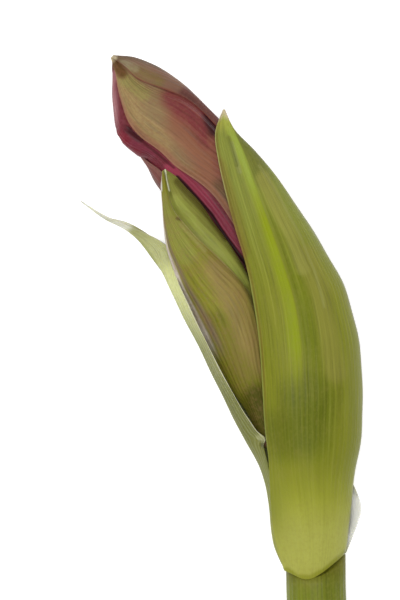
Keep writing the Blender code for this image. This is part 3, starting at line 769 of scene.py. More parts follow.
def front_valve_outside(rows, left_columns, right_columns):
    """Left of the keel: the straight line from margin to keel plus a half sine.
    Right of it: x goes with sin(turn) and z with cos(turn), each to the power 0.9."""
    fraction = np.linspace(0.0, 1.0, rows)
    margin = along(FRONT_MARGIN, fraction)[:, None]
    keel = along(FRONT_KEEL, fraction)[:, None]
    outline = along(FRONT_OUTLINE, fraction)[:, None]
    wrap_depth = along(FRONT_WRAP_DEPTH, fraction)[:, None]

    arch = np.linspace(0.0, 1.0, left_columns + 1)[:-1][None, :, None]
    left = margin + (keel - margin) * arch
    left[..., 2] += LEFT_FACE_ARCH * np.sin(np.pi * arch[..., 0])

    first = np.radians(KEEL_BREADTH_DEGREES)
    last = np.radians(along(FRONT_WRAP_DEGREES, fraction))[:, None]
    turn = first + (last - first) * np.linspace(0.0, 1.0, right_columns)[None, :]
    reach = np.maximum((np.sin(turn) - np.sin(first)) / (1.0 - np.sin(first)), 0.0)
    reach = reach ** SECTION_FULLNESS
    fall = np.cos(turn) / np.cos(first)
    fall = np.sign(fall) * np.abs(fall) ** SECTION_FULLNESS
    on_side = turn < np.pi / 2
    right = np.empty((rows, right_columns, 3))
    right[..., 0] = keel[..., 0] + (outline[..., 0] - keel[..., 0]) * reach
    climb = np.where(on_side, np.clip(reach, 0, 1) ** SIDE_CLIMB, 1.0)
    right[..., 1] = keel[..., 1] + (outline[..., 1] - keel[..., 1]) * climb
    height = np.where(on_side, keel[..., 2] - outline[..., 2], wrap_depth)
    right[..., 2] = outline[..., 2] + height * fall
    return np.concatenate([left, right], axis=1)


def front_valve_outside_softened():
    """The outside with its keel rounded: a little at the tip, fully from y = 50 down.
    Low down the left margin laps over the back valve, for there the two have grown together."""
    outer = front_valve_outside(FRONT_ROWS, FRONT_LEFT, FRONT_RIGHT)
    rows, columns = outer.shape[:2]
    from_keel = np.arange(columns)[None, :] - FRONT_LEFT
    on_crest = np.exp(-(from_keel / CREST_COLUMNS) ** 2) * np.ones((rows, 1))
    near_keel = np.exp(-(from_keel / KEEL_COLUMNS) ** 2) * np.ones((rows, 1))
    outer = soften_across(outer, CREST_SOFTENING, on_crest)
    outer = soften_across(outer, KEEL_SOFTENING,
                          near_keel * smoothstep((92.0 - outer[..., 1]) / 45.0))
    lengthwise = np.linspace(0.0, 1.0, rows)[:, None]
    lowered = COLLAR_DIP * band(outer[..., 0], -2.6, 4.6) * (1.0 - smoothstep(lengthwise / 0.06))
    outer[..., 1] -= lowered
    lapped = band(outer[..., 1], 11.0, 13.0) * eased_out(outer[..., 1], 23.0, 9.0)
    beside = 1.0 - smoothstep(np.arange(columns) / (0.5 * FRONT_LEFT))
    outer[..., 0] -= LAP_WIDTH * lapped * beside
    return outer


# %% The front valve's masks
KEEL_WIDTH_HIGH, KEEL_WIDTH_ADDED_LOW = 2.0, 1.8

FRONT_STROKES = {
    # painted shade in the pressed fold near the tip, and a painted sheen beside it
    "shaded_fold": ([(-20.9, 104.2), (-20.0, 101.2), (-18.9, 97.6)], 0.7),
    "sheen": ([(-20.1, 102.8), (-19.3, 99.8), (-18.2, 96.0)], 0.8),
    "blush": ([(-22.9, 97.6), (-21.0, 91.7), (-19.0, 84.5), (-17.2, 77.0)], 2.2),
    # dark olive right of the keel near the tip: partly pigment, partly painted shade on the side
    # turned from the light
    "shaded_olive_top": ([(-17.6, 104.8), (-14.4, 98.8), (-12.6, 94.0)], 3.0),
    "deep_low": ([(-7.0, 34.0), (-3.0, 35.0), (-2.2, 42.0)], 9.5),
    "pale_streaks": ([(-12.6, 94.5), (-9.4, 87.5), (-5.8, 80.5), (-3.2, 73.0)], 2.4),
    "pale_line": ([(-13.5, 97.4), (-8.6, 89.6), (-4.0, 81.0), (-0.6, 73.0), (1.8, 64.0)], 0.5),
    "tan_cheek": ([(-2.4, 76.0), (0.6, 68.0), (2.4, 60.0), (4.4, 48.0)], 3.6),
    "collar_shade": ([(-7.0, 1.2), (-4.6, -0.4), (-1.4, -0.6), (2.1, 1.2), (6.9, 5.2)], 1.2),
    # painted highlight: a glancing sheen along the right outline
    "rim_sheen": ([point[:2] for point in FRONT_OUTLINE], 0.7),
}


def front_measures(outer):
    """The girth from the left margin, the same from the keel, and the grid's two shares."""
    rows, columns = outer.shape[:2]
    across = np.linspace(0.0, 1.0, columns)[None, :] * np.ones((rows, 1))
    lengthwise = np.linspace(0.0, 1.0, rows)[:, None] * np.ones((1, columns))
    steps = np.linalg.norm(np.diff(outer, axis=1), axis=-1)
    girth = np.concatenate([np.zeros((rows, 1)), np.cumsum(steps, axis=1)], axis=1)
    return girth, girth - girth[:, FRONT_LEFT:FRONT_LEFT + 1], across, lengthwise


def front_keel_masks(y, from_keel):
    """Lime on the keel, ending sharply at its crest, and dark olive past it; partly painted light
    and shade.
    """
    left = from_keel < 0
    lower = smoothstep((92.0 - y) / 30.0)
    keel_width = KEEL_WIDTH_HIGH + KEEL_WIDTH_ADDED_LOW * lower
    shown = eased_in(y, 41.0, 15.0)
    lime = smoothstep(1.5 * (from_keel + keel_width) / keel_width) * left * shown
    lime += (~left) * (1.0 - smoothstep(from_keel / 0.5)) * shown
    past = eased_in(from_keel, 0.2, 0.7) * (~left)
    past *= 1.0 - smoothstep((from_keel - 1.4 - 2.4 * lower) / (1.2 + 4.4 * lower))
    past *= (0.45 + 0.55 * lower) * eased_in(y, 20.0, 20.0)
    return {"lit_lime_keel": lime, "lit_lime_top": lime * eased_in(y, 84.0, 14.0), "shaded_olive_past_keel": past}


def front_rim_masks(y, girth):
    """The left margin's shade and its green, red and cream edge, and the pointed tip."""
    rim = eased_out(girth, 0.15, 0.2)
    beside = np.abs(2.0 * girth / girth[:, -1:] - 0.7)
    return {
        "edge_shade": band(girth, 0.62, 0.3) * eased_in(y, 22.0, 30.0),
        "green_edge": rim * eased_in(y, 26.0, 8.0) * eased_out(y, 68.0, 8.0),
        "red_edge": rim * band(y, 80.0, 7.0),
        "cream_edge": rim * eased_in(y, 86.0, 6.0),
        "tip_yellow": eased_in(y, 104.4, 3.6),
        "tip": smoothstep((y - 108.4 + 1.9 * np.clip(beside, 0.0, 1.0)) / 2.2),
    }


def front_length_masks(y, girth):
    """Yellow towards the base, with one shade beside the margin, and bluer green above."""
    return {
        "yellow_low": eased_out(y, 13.0, 16.0),
        "yellow_base": eased_out(y, 8.0, 12.0),
        "low_shade": band(girth, 0.0, 4.0) * band(y, 16.0, 8.0),
        "upper": eased_in(y, 66.0, 30.0),
    }


# %% The front valve and its skin
FRONT_RIBS = 34
FRONT_RIB_HEIGHT = 0.012
FRONT_RIPPLE = 0.22
FOLD_DEPTH = 0.2


def front_relief(outer, girth, shaded_fold, across, lengthwise):
    """Fine ribs, weaker low down, with a slow ripple and one pressed fold."""
    fine_ends = smoothstep(lengthwise / 0.06) * smoothstep((1.0 - lengthwise) / 0.12)
    relief = FRONT_RIB_HEIGHT * np.cos(2 * np.pi * FRONT_RIBS * across) * fine_ends
    relief *= 0.4 + 0.6 * eased_in(outer[..., 1], 20.0, 40.0)
    relief += FRONT_RIPPLE * ripple(outer) * fine_ends * smoothstep(girth / 2.0)
    return relief - FOLD_DEPTH * shaded_fold


def front_valve_piece():
    """The outside with its relief, and washes from its paths, keel, rim and length."""
    outer = front_valve_outside_softened()
    girth, from_keel, across, lengthwise = front_measures(outer)
    y = outer[..., 1]
    left = from_keel < 0
    masks = strokes(outer, FRONT_STROKES)
    for mask_name, side in (("sheen", left), ("shaded_fold", left), ("shaded_olive_top", ~left)):
        masks[mask_name] = masks[mask_name] * side
    above_outline = outer[..., 2] - along(FRONT_OUTLINE, lengthwise[:, 0])[:, 2:]
    masks["rim_sheen"] *= band(above_outline, 1.0, 1.8) * eased_out(y, 84.0, 8.0)
    masks.update(front_keel_masks(y, from_keel))
    masks.update(front_rim_masks(y, girth))
    masks.update(front_length_masks(y, girth))
    masks["calm"] = np.maximum(eased_out(y, 24.0, 20.0), masks["lit_lime_keel"])
    relief = front_relief(outer, girth, masks["shaded_fold"], across, lengthwise)
    outside, inside = valve_blade(outer, relief, INSIDE_FRONT, across, lengthwise)
    return blade("front_valve", outside, inside, across, lengthwise, masks)


front_valve = front_valve_piece()
front_valve_skin = plant_skin(
    "front valve skin", (0.215, 0.232, 0.012),
    # the dark olive past the keel and near the tip is partly pigment, partly painted shade on the
    # side turned from the light
    [("upper", (0.245, 0.280, 0.046), 0.8), ("shaded_olive_past_keel", (0.160, 0.190, 0.004), 0.9),
     ("shaded_olive_top", (0.155, 0.170, 0.026), 0.9), ("tan_cheek", (0.265, 0.255, 0.040), 0.8),
     ("deep_low", (0.118, 0.140, 0.002), 0.85), ("pale_streaks", (0.310, 0.305, 0.060), 0.8),
     ("pale_line", (0.34, 0.34, 0.10), 0.5),
     ("yellow_low", (0.350, 0.368, 0.034), 0.95), ("yellow_base", (0.425, 0.430, 0.082), 0.95),
     ("low_shade", (0.200, 0.220, 0.022), 0.7),
     # the lime on the keel, and the paler lime near the tip, are partly pigment, partly painted
     # light on the keel's lit side
     ("lit_lime_keel", (0.260, 0.315, 0.000), 0.95),
     ("lit_lime_top", (0.330, 0.410, 0.070), 0.75), ("blush", (0.215, 0.150, 0.020), 0.5),
     # a painted sheen beside the fold, and painted shade in the fold itself
     ("sheen", (0.29, 0.31, 0.11), 0.5), ("shaded_fold", (0.135, 0.155, 0.020), 0.6),
     # painted shade under the collar, and a painted highlight along the right outline
     ("collar_shade", (0.25, 0.26, 0.008), 0.8), ("rim_sheen", (0.30, 0.32, 0.17), 0.6),
     ("edge_shade", (0.16, 0.07, 0.02), 0.5), ("green_edge", (0.33, 0.37, 0.10), 0.6),
     ("red_edge", (0.26, 0.12, 0.045), 0.75), ("cream_edge", (0.46, 0.42, 0.17), 0.75),
     ("tip_yellow", (0.42, 0.43, 0.07), 0.6), ("tip", (0.70, 0.58, 0.40), 0.85),
     ("inside", (0.36, 0.40, 0.14), 0.7)],
    pale=(0.34, 0.34, 0.08), count=FRONT_RIBS, ribs=0.12, lift=0.12, drop=0.2, sway=0.16,
    speck=(0.27, 0.24, 0.04), specks=0.16, blotches=0.1, roughness=0.5, calm="calm")
dress(front_valve, "spathe_valve_front", front_valve_skin)

# %% [markdown]
# ## The back valve
#
# The other valve lies behind the buds like a cradle. Its thin tip has bent back and
# points away to the left, and its front margin curls over the foot of the small bud.
# Six lines carry it, and each cross section is the smooth curve across them.

# %% The back valve's six lines
BACK_RIGHT_MARGIN = [
    (7.3, 5.2, -5.6), (9.6, 11.8, -3.4), (10.3, 17.4, -4.0), (7.3, 25.4, -10.2),
    (2.4, 36.5, -13.2), (-4.0, 46.5, -13.9), (-10.5, 56.0, -13.5), (-18.0, 64.0, -12.6),
    (-27.0, 71.2, -10.8), (-35.5, 77.6, -8.8), (-44.3, 83.7, -6.9), (-56.0, 89.4, -6.0),
]
BACK_FLANK_RIGHT = [
    (5.2, 3.5, -9.2), (7.4, 10.4, -9.6), (7.2, 17.5, -11.4), (4.2, 25.0, -13.9),
    (-0.8, 34.5, -14.9), (-6.4, 44.0, -15.1), (-12.6, 53.5, -14.6), (-20.0, 62.0, -13.5),
    (-28.4, 69.9, -11.4), (-36.2, 76.6, -9.2), (-44.7, 83.3, -7.2), (-56.1, 89.3, -6.0),
]
BACK_KEEL = [
    (-0.5, 1.5, -11.2), (-0.6, 9.0, -12.4), (-1.4, 17.0, -13.8), (-3.6, 24.5, -15.0),
    (-7.6, 32.5, -15.5), (-11.6, 41.5, -15.3), (-16.4, 51.0, -14.4), (-23.0, 60.0, -13.0),
    (-30.4, 68.5, -11.0), (-37.4, 75.4, -8.9), (-45.4, 82.7, -7.2), (-56.2, 89.2, -6.0),
]
BACK_FLANK_LEFT = [
    (-6.0, 1.2, -8.6), (-8.0, 8.0, -8.8), (-9.2, 15.5, -9.6), (-11.4, 23.5, -10.2),
    (-14.8, 31.0, -10.4), (-18.8, 39.0, -10.0), (-22.6, 48.5, -9.0), (-28.0, 58.0, -8.2),
    (-32.8, 67.0, -7.6), (-38.4, 74.4, -7.0), (-46.2, 82.1, -6.4), (-56.3, 89.1, -6.0),
]
BACK_OUTLINE = [
    (-7.4, 1.2, -4.6), (-10.0, 7.0, -3.8), (-11.2, 16.7, -3.0), (-13.2, 25.5, -2.2),
    (-17.0, 32.7, -1.2), (-20.9, 40.0, 0.2), (-24.9, 48.4, 1.0), (-29.8, 58.2, 1.4),
    (-34.4, 67.4, -0.4), (-39.0, 76.6, -4.0), (-46.6, 82.9, -5.4), (-56.3, 89.2, -5.9),
]
BACK_FRONT_MARGIN = [
    (-5.9, 2.2, -0.3), (-7.8, 7.6, 0.6), (-9.2, 16.0, 2.2), (-11.2, 25.0, 3.9),
    (-13.6, 33.0, 6.2), (-18.0, 40.0, 8.8), (-22.4, 48.0, 10.0), (-27.5, 58.1, 10.6),
    (-32.6, 68.8, 8.0), (-38.0, 77.8, -1.4), (-46.4, 83.3, -5.0), (-56.2, 89.3, -5.9),
]
INSIDE_BACK = np.array([-14.0, 44.0, 0.0])
BACK_ROWS, BACK_COLUMNS = 220, 110


# %% The back valve's outside and masks
FLAP_WIDTH = 0.14
FLAP_LIFT, FLAP_OUT = 3.0, 0.3
TIP_SHIFT, TIP_BEND = 0.4, 1.3
SHOULDER_SHIFT = 2.2
HOOK_TOOTH = np.array([1.3, 0.0, 0.7])

BACK_STROKES = {
    "white_tip": ([(-56.2, 89.3), (-52.6, 87.6), (-48.6, 85.5), (-45.5, 83.5)], 2.6),
    "silver": ([(-47.0, 84.0), (-43.0, 82.3), (-39.0, 79.8), (-36.0, 76.5)], 3.6),
    # lime on the thin shoulder: partly the tissue's own pale colour, partly painted light shining
    # through it from behind
    "lime_and_backlight_shoulder": ([(-38.0, 77.0), (-36.0, 73.6), (-33.6, 69.0), (-31.0, 63.0),
                       (-27.8, 55.0)], 6.5),
    "hook": ([(-13.6, 33.0), (-12.6, 32.6)], 0.9),
    # painted shade in the small notch below the hook
    "shaded_notch": ([(-13.0, 31.0), (-12.2, 30.4)], 0.7),
}


def back_valve_outside(fraction, share):
    """The spline along each line, then the spline across the six.

    The papery flap is lifted, the tip bends back in a light S, the front margin has a
    hooked tooth low down, and its shoulder is drawn in under the small bud."""
    lines = [BACK_RIGHT_MARGIN, BACK_FLANK_RIGHT, BACK_KEEL, BACK_FLANK_LEFT, BACK_OUTLINE,
             BACK_FRONT_MARGIN]
    rails = np.stack([along(line, fraction) for line in lines])
    outer = along(rails, share).transpose(1, 0, 2)
    flap = (1.0 - smoothstep(share / FLAP_WIDTH))[None, :] * band(outer[:, :1, 1], 15.0, 5.0)
    outer[..., 2] += FLAP_LIFT * flap
    outer[..., 0] += FLAP_OUT * flap
    across = share[None, :] * np.ones((len(fraction), 1))
    outer[..., 0] += band(outer[..., 1], 81.0, 5.0) * (TIP_SHIFT + TIP_BEND * across)
    outer[..., 1] -= TIP_BEND * band(outer[..., 0], -50.5, 4.0) * (1.0 - 0.7 * across)
    tooth = eased_in(across, 0.8, 0.2) * band(outer[..., 1], 32.6, 1.1)
    outer += tooth[..., None] * HOOK_TOOTH
    shoulder = eased_in(across, 0.75, 0.25) * band(outer[..., 1], 76.5, 4.5)
    outer[..., 0] += SHOULDER_SHIFT * shoulder
    return outer, across


def back_valve_masks(outer, across):
    """Washes from paths, height along the valve and the share across it."""
    y = outer[..., 1]
    masks = strokes(outer, BACK_STROKES)
    masks["lime_and_backlight_shoulder"] *= eased_in(across, 0.5, 0.4) * eased_in(y, 52.0, 18.0)
    masks["papery"] = eased_in(y, 3.0, 6.0) * eased_out(y, 17.0, 7.0)
    masks["papery"] *= eased_out(across, 0.09, 0.16)
    masks["base"] = eased_out(y, 6.0, 18.0)
    masks["low_strip"] = band(y, 38.0, 13.0) * eased_in(across, 0.5, 0.3)
    masks["curl"] = eased_in(across, 0.86, 0.06) * eased_in(y, 30.0, 2.5)
    masks["edge"] = eased_in(across, 0.982, 0.012) * eased_in(y, 31.0, 1.5)
    for mask_name in ("hook", "shaded_notch"):
        masks[mask_name] = masks[mask_name] * (across > 0.85)
    return masks


# %% The back valve and its skin
BACK_RIBS = 30
BACK_RIB_HEIGHT = 0.06
BACK_RIPPLE = 0.15
HOOK_RISE, NOTCH_DEPTH = 0.35, 0.3


def back_valve_piece():
    """The outside with fine ribs, a ripple, the hook and its notch, and its washes."""
    fraction = np.linspace(0.0, 1.0, BACK_ROWS)
    outer, across = back_valve_outside(fraction, np.linspace(0.0, 1.0, BACK_COLUMNS))
    lengthwise = fraction[:, None] * np.ones((1, BACK_COLUMNS))
    masks = back_valve_masks(outer, across)
    fine_ends = smoothstep(lengthwise / 0.06) * smoothstep((1.0 - lengthwise) / 0.2)
    relief = BACK_RIB_HEIGHT * np.cos(2 * np.pi * BACK_RIBS * across) * fine_ends
    relief += BACK_RIPPLE * ripple(outer) * fine_ends
    relief += (HOOK_RISE * masks["hook"] - NOTCH_DEPTH * masks["shaded_notch"]) * (across > 0.9)
    outside, inside = valve_blade(outer, relief, INSIDE_BACK, across, lengthwise)
    return blade("back_valve", outside, inside, across, lengthwise, masks)


back_valve = back_valve_piece()
back_valve_skin = plant_skin(
    "back valve skin", (0.225, 0.245, 0.050),
    [("inside", (0.36, 0.39, 0.16), 0.6), ("curl", (0.34, 0.34, 0.15), 0.7),
     ("low_strip", (0.155, 0.168, 0.012), 1.0),
     # the shoulder's lime wash is partly pigment, partly painted light shining through from behind
     ("lime_and_backlight_shoulder", (0.70, 0.73, 0.30), 0.9), ("silver", (0.50, 0.51, 0.24), 0.85),
     ("white_tip", (0.88, 0.88, 0.74), 0.95), ("base", (0.34, 0.35, 0.055), 0.85),
     # painted shade in the notch below the hook
     ("edge", (0.66, 0.64, 0.46), 0.85), ("shaded_notch", (0.06, 0.07, 0.01), 0.9),
     ("hook", (0.42, 0.43, 0.20), 0.8), ("papery", (0.95, 0.94, 0.86), 1.0)],
    pale=(0.44, 0.45, 0.22), count=BACK_RIBS, ribs=0.15, lift=0.1, drop=0.15,
    speck=(0.28, 0.25, 0.1), specks=0.15, blotches=0.1, roughness=0.5, through=0.3,
    sheer="papery")
dress(back_valve, "spathe_valve_back", back_valve_skin)

# %% [markdown]
# ## A bud and the tepals on it
#
# A closed bud is a bent spindle, and its six tepals are wrapped round it, three outer
# ones over three inner ones. So the bud is a function of two numbers: how far along it
# is, and how far round. Each tepal is the patch between two margins, given in degrees
# round the bud, and a margin that lies under its neighbour goes a little deeper.

# %% A bud as a function of length and angle
LARGE_HIGH = [
    (-0.4, 44.5), (0.6, 54.0), (0.2, 64.3), (-1.9, 76.2), (-6.2, 86.4), (-11.9, 95.5),
    (-17.6, 102.9), (-23.1, 108.8), (-28.1, 114.0), (-32.9, 118.1), (-37.1, 121.0),
    (-41.4, 122.9), (-45.2, 124.0), (-47.9, 124.5),
]
LARGE_LOW = [
    (-7.2, 43.5), (-10.2, 52.0), (-14.3, 60.3), (-20.0, 69.1), (-26.4, 77.0), (-32.6, 85.9),
    (-37.8, 92.8), (-40.7, 98.1), (-45.4, 102.3), (-48.0, 106.1), (-48.7, 112.3),
    (-48.9, 118.3), (-49.1, 121.3), (-49.3, 122.9),
]
LARGE_MIDDLE_Z = (
    -5.8, -6.2, -6.8, -7.3, -7.7, -7.8, -7.8, -7.7, -7.6, -7.4, -7.2, -7.0, -6.9, -6.8,
)
LARGE_DEPTH_LIMIT = 9.0
LARGE_BUD = (LARGE_HIGH, LARGE_LOW, LARGE_MIDDLE_Z, LARGE_DEPTH_LIMIT)

SMALL_HIGH = [
    (-6.1, 32.5), (-8.5, 42.4), (-10.5, 52.4), (-11.9, 59.5), (-14.0, 66.4), (-16.7, 72.4),
    (-20.0, 77.9), (-23.6, 82.9), (-27.1, 87.9), (-30.7, 92.1), (-33.6, 95.3), (-35.4, 97.0),
]
SMALL_LOW = [
    (-12.2, 30.2), (-16.2, 37.9), (-20.3, 43.9), (-24.0, 50.2), (-27.5, 56.7), (-30.7, 63.4),
    (-33.3, 69.9), (-35.4, 76.0), (-36.3, 82.1), (-36.6, 87.9), (-37.0, 93.1), (-37.1, 95.8),
]
SMALL_MIDDLE_Z = (2.3, 3.0, 3.6, 4.0, 4.2, 4.2, 4.2, 4.0, 3.7, 3.3, 2.8, 2.5)
SMALL_DEPTH_LIMIT = 8.0
SMALL_BUD = (SMALL_HIGH, SMALL_LOW, SMALL_MIDDLE_Z, SMALL_DEPTH_LIMIT)


def bud_frame(high, low, middle_z, depth_limit, fraction):
    """Middle, sideways direction and half sizes of a bud's section at each fraction.
    The half depth is limit * tanh(half width / limit), so a wide bud is flatter."""
    high_side = along(high, fraction)
    low_side = along(low, fraction)
    centre = np.concatenate([(high_side + low_side) / 2, along(middle_z, fraction)[..., None]], -1)
    span = high_side - low_side
    length = np.linalg.norm(span, axis=-1, keepdims=True)
    sideways = np.concatenate([span / length, np.zeros_like(length)], -1)
    half_width = length[..., 0] / 2
    half_depth = depth_limit * np.tanh(half_width / depth_limit)
    return centre, sideways, half_width, half_depth


def bud_points(bud, fraction, degrees, depth):
    """Middle + sideways * (half width - depth) * cos + up * (half depth - depth) * sin,
    where both half sizes are drawn in by half over the last eighth, at the tip."""
    centre, sideways, half_width, half_depth = bud_frame(*bud, fraction)
    nose = 1.0 - 0.5 * eased_in(fraction, 0.88, 0.12)
    angle = np.radians(degrees)
    side = (((half_width * nose)[:, None] - depth) * np.cos(angle))[..., None]
    up = (((half_depth * nose)[:, None] - depth) * np.sin(angle))[..., None]
    return centre[:, None] + side * sideways[:, None] + up * np.array([0.0, 0.0, 1.0])


# %% The tepals' margins
OUTER = 0.0
TUCKED = 1.05
INNERMOST = 2.1
ALL_OUTER = (OUTER, OUTER, OUTER)
ALL_INNERMOST = (INNERMOST, INNERMOST, INNERMOST)
LARGE_CORE_REACH, SMALL_CORE_REACH = 0.84, 0.78
BULGE = (1.05, 1.05, 1.05, 1.05, 1.05, 1.05, 0.8, 0.45, 0.4, 0.5, 0.6)
TEPAL_THICKNESS = 0.7
MARGIN_RAMP_DEGREES = 40.0

# The back tepal's upper edge stays behind the bud until the crimson flap has ended, the
# top tepal's margin reaches the front tepal's at the very tip, and the front tepal's low
# margin is drawn back a little where the flap swells. The small bud's front tepal is as
# wide as the bud at its foot, so no gap shows beside the valve's margin.
LARGE_TEPALS = {
    "large_bud_outer_tepal_top": (
        (-86, -90, -100, -108, -112, -115, -112, -105, -95, -80, -60),
        (-30, -25, -5, 12, 20, 24, 26, 52, 83, 95, 126), ALL_OUTER, 1.0),
    "large_bud_outer_tepal_front": (
        (34, 30, 20, 2, 5, 8, 10, 38, 67, 84, 124),
        (90, 95, 98, 100, 101, 120, 128, 128, 135, 142, 182), (TUCKED, OUTER, OUTER), 1.0),
    "large_bud_outer_tepal_back": (
        (154, 150, 145, 140, 138, 148, 204, 208, 204, 198, 200),
        (210, 215, 225, 238, 256, 261, 264, 270, 281, 294, 300), (OUTER, OUTER, TUCKED), 1.0),
    "large_bud_inner_tepal_low": (
        (96, 98, 84, 84, 86, 98, 108, 114, 120, 124, 130),
        (148, 146, 160, 166, 172, 184, 198, 210, 214, 212, 202), (TUCKED, BULGE, TUCKED), 0.88),
    "large_bud_inner_tepal_high": (
        (-26, -24, -28, -38, -44, -46, -46, -44, -38, -26, -10),
        (30, 26, 34, 55, 76, 92, 104, 110, 112, 108, 100), ALL_INNERMOST, LARGE_CORE_REACH),
    "large_bud_inner_tepal_rear": (
        (214, 218, 206, 200, 198, 198, 202, 206, 212, 216, 224),
        (269, 266, 282, 298, 306, 308, 308, 310, 314, 316, 312), ALL_INNERMOST, LARGE_CORE_REACH),
}
SMALL_TEPALS = {
    "small_bud_outer_tepal_front": (
        (70, 52, 38, 28, 29, 50, 68, 90, 116, 114, 118),
        (178, 177, 174, 172, 171, 172, 172, 174, 176, 178, 178), ALL_OUTER, 1.0),
    "small_bud_outer_tepal_right": (
        (-50, -56, -66, -74, -80, -84, -84, -80, -72, -60, -30),
        (4, 10, 30, 42, 46, 66, 84, 106, 130, 122, 78), (OUTER, OUTER, TUCKED), 1.0),
    "small_bud_outer_tepal_rear": (
        (189, 182, 172, 166, 160, 156, 156, 158, 160, 164, 216),
        (245, 252, 262, 272, 284, 292, 293, 295, 302, 308, 296), (TUCKED, OUTER, TUCKED), 1.0),
    "small_bud_inner_tepal_right": (
        (9, 13, 6, -4, -12, -16, -18, -18, -16, -8, 4),
        (64, 48, 60, 78, 86, 92, 96, 98, 98, 94, 88), ALL_INNERMOST, SMALL_CORE_REACH),
    "small_bud_inner_tepal_left": (
        (130, 142, 130, 106, 98, 97, 101, 104, 108, 114, 124),
        (184, 178, 186, 200, 206, 210, 214, 216, 218, 216, 206), ALL_INNERMOST, SMALL_CORE_REACH),
    "small_bud_inner_tepal_rear": (
        (250, 256, 246, 232, 226, 225, 226, 226, 228, 232, 240),
        (305, 300, 310, 326, 334, 338, 336, 334, 334, 332, 328), ALL_INNERMOST, SMALL_CORE_REACH),
}
TEPALS = {node: (LARGE_BUD, *spec) for node, spec in LARGE_TEPALS.items()}
TEPALS.update({node: (SMALL_BUD, *spec) for node, spec in SMALL_TEPALS.items()})
print("tepals:", len(TEPALS))


# %% A tepal's surface
TEPAL_RIBS = 16
TEPAL_RIB_HEIGHT = 0.035
TEPAL_RIPPLE = 0.12
RIPPLE_SCALE = 1.4
PRESSED_SHARE = 0.12
TEPAL_TIP_THINNESS = 0.3


def tepal_depth(first, second, across, fraction, depths, reach):
    """Depth below the bud's outside: the middle's, eased to each margin's over 40 degrees,
    and eased to nothing at the base and, on a tepal that reaches it, at the tip."""
    first_depth, middle_depth, second_depth = depths
    ramp = MARGIN_RAMP_DEGREES / np.maximum(second - first, 1.0)
    near_first = 1.0 - smoothstep((across - ramp / 2) / (ramp / 2))
    near_second = 1.0 - smoothstep((1.0 - across - ramp / 2) / (ramp / 2))
    middle = along(np.broadcast_to(middle_depth, 11), fraction[:, 0])[:, None]
    depth = middle + (first_depth - middle) * near_first + (second_depth - middle) * near_second
    settled = eased_in(fraction, 0.02, 0.1)
    if reach == 1.0:
        settled = settled * smoothstep((1.0 - fraction) / 0.08)
    return depth * settled


def tepal_grids(node, rows, columns, pressed=(0.0, 0.0), relief=None):
    """Outside and inside of one tepal, its u and v, and its plain outside.

    Each margin is pressed down onto its neighbour over an eighth of the width, ribs are a
    cosine across, and relief(points) adds folds. The inside is a thickness deeper."""
    bud, first_margin, second_margin, depths, reach = TEPALS[node]
    fraction = np.linspace(0.0, reach, rows)[:, None]
    first = along(first_margin, fraction[:, 0])[:, None]
    second = along(second_margin, fraction[:, 0])[:, None]
    across = np.linspace(0.0, 1.0, columns)[None, :] * np.ones((rows, 1))
    degrees = first + (second - first) * across
    depth = tepal_depth(first, second, across, fraction, depths, reach)
    plain = bud_points(bud, fraction[:, 0], degrees, depth)
    ends = smoothstep(fraction / 0.06) * smoothstep((reach - fraction) / 0.1)
    down = pressed[0] * (1.0 - smoothstep(across / PRESSED_SHARE))
    down = down + pressed[1] * (1.0 - smoothstep((1.0 - across) / PRESSED_SHARE))
    raised = TEPAL_RIB_HEIGHT * np.cos(2 * np.pi * TEPAL_RIBS * across)
    raised = raised + TEPAL_RIPPLE * ripple(plain * RIPPLE_SCALE)
    if relief is not None:
        raised = raised + relief(plain)
    outer_depth = depth + (down - raised) * ends
    full = EDGE_THICKNESS + (TEPAL_THICKNESS - EDGE_THICKNESS) * np.sin(np.pi * across)
    thinned = (1.0 - TEPAL_TIP_THINNESS) * smoothstep((reach - fraction) / 0.1)
    full = full * (TEPAL_TIP_THINNESS + thinned)
    outside = bud_points(bud, fraction[:, 0], degrees, outer_depth)
    inner_depth = np.maximum(depth + down * ends, outer_depth) + full
    inside = bud_points(bud, fraction[:, 0], degrees, inner_depth)
    return outside, inside, across, fraction * np.ones((1, columns)), plain


def build_tepal(name, node, skin, slot, washes=None, **shape):
    """Make one tepal, wash it where its table and its rule say so, and put it in place."""
    outside, inside, across, lengthwise, plain = tepal_grids(node, **shape)
    masks = washes(plain, across, lengthwise) if washes else {}
    piece = blade(name, outside, inside, across, lengthwise, masks)
    return dress(piece, node, skin)


# %% [markdown]
# ## The large bud
#
# The large bud is near its day: its outer tepals have gone from green to khaki and pink,
# and crimson shows where the next layer peeps out. The front tepal is khaki on its left,
# flushes to wine red along its upper margin, and starts in a brown hood. The top tepal
# rolls over it from behind, and its margin lies close on it with only a hair of shade.

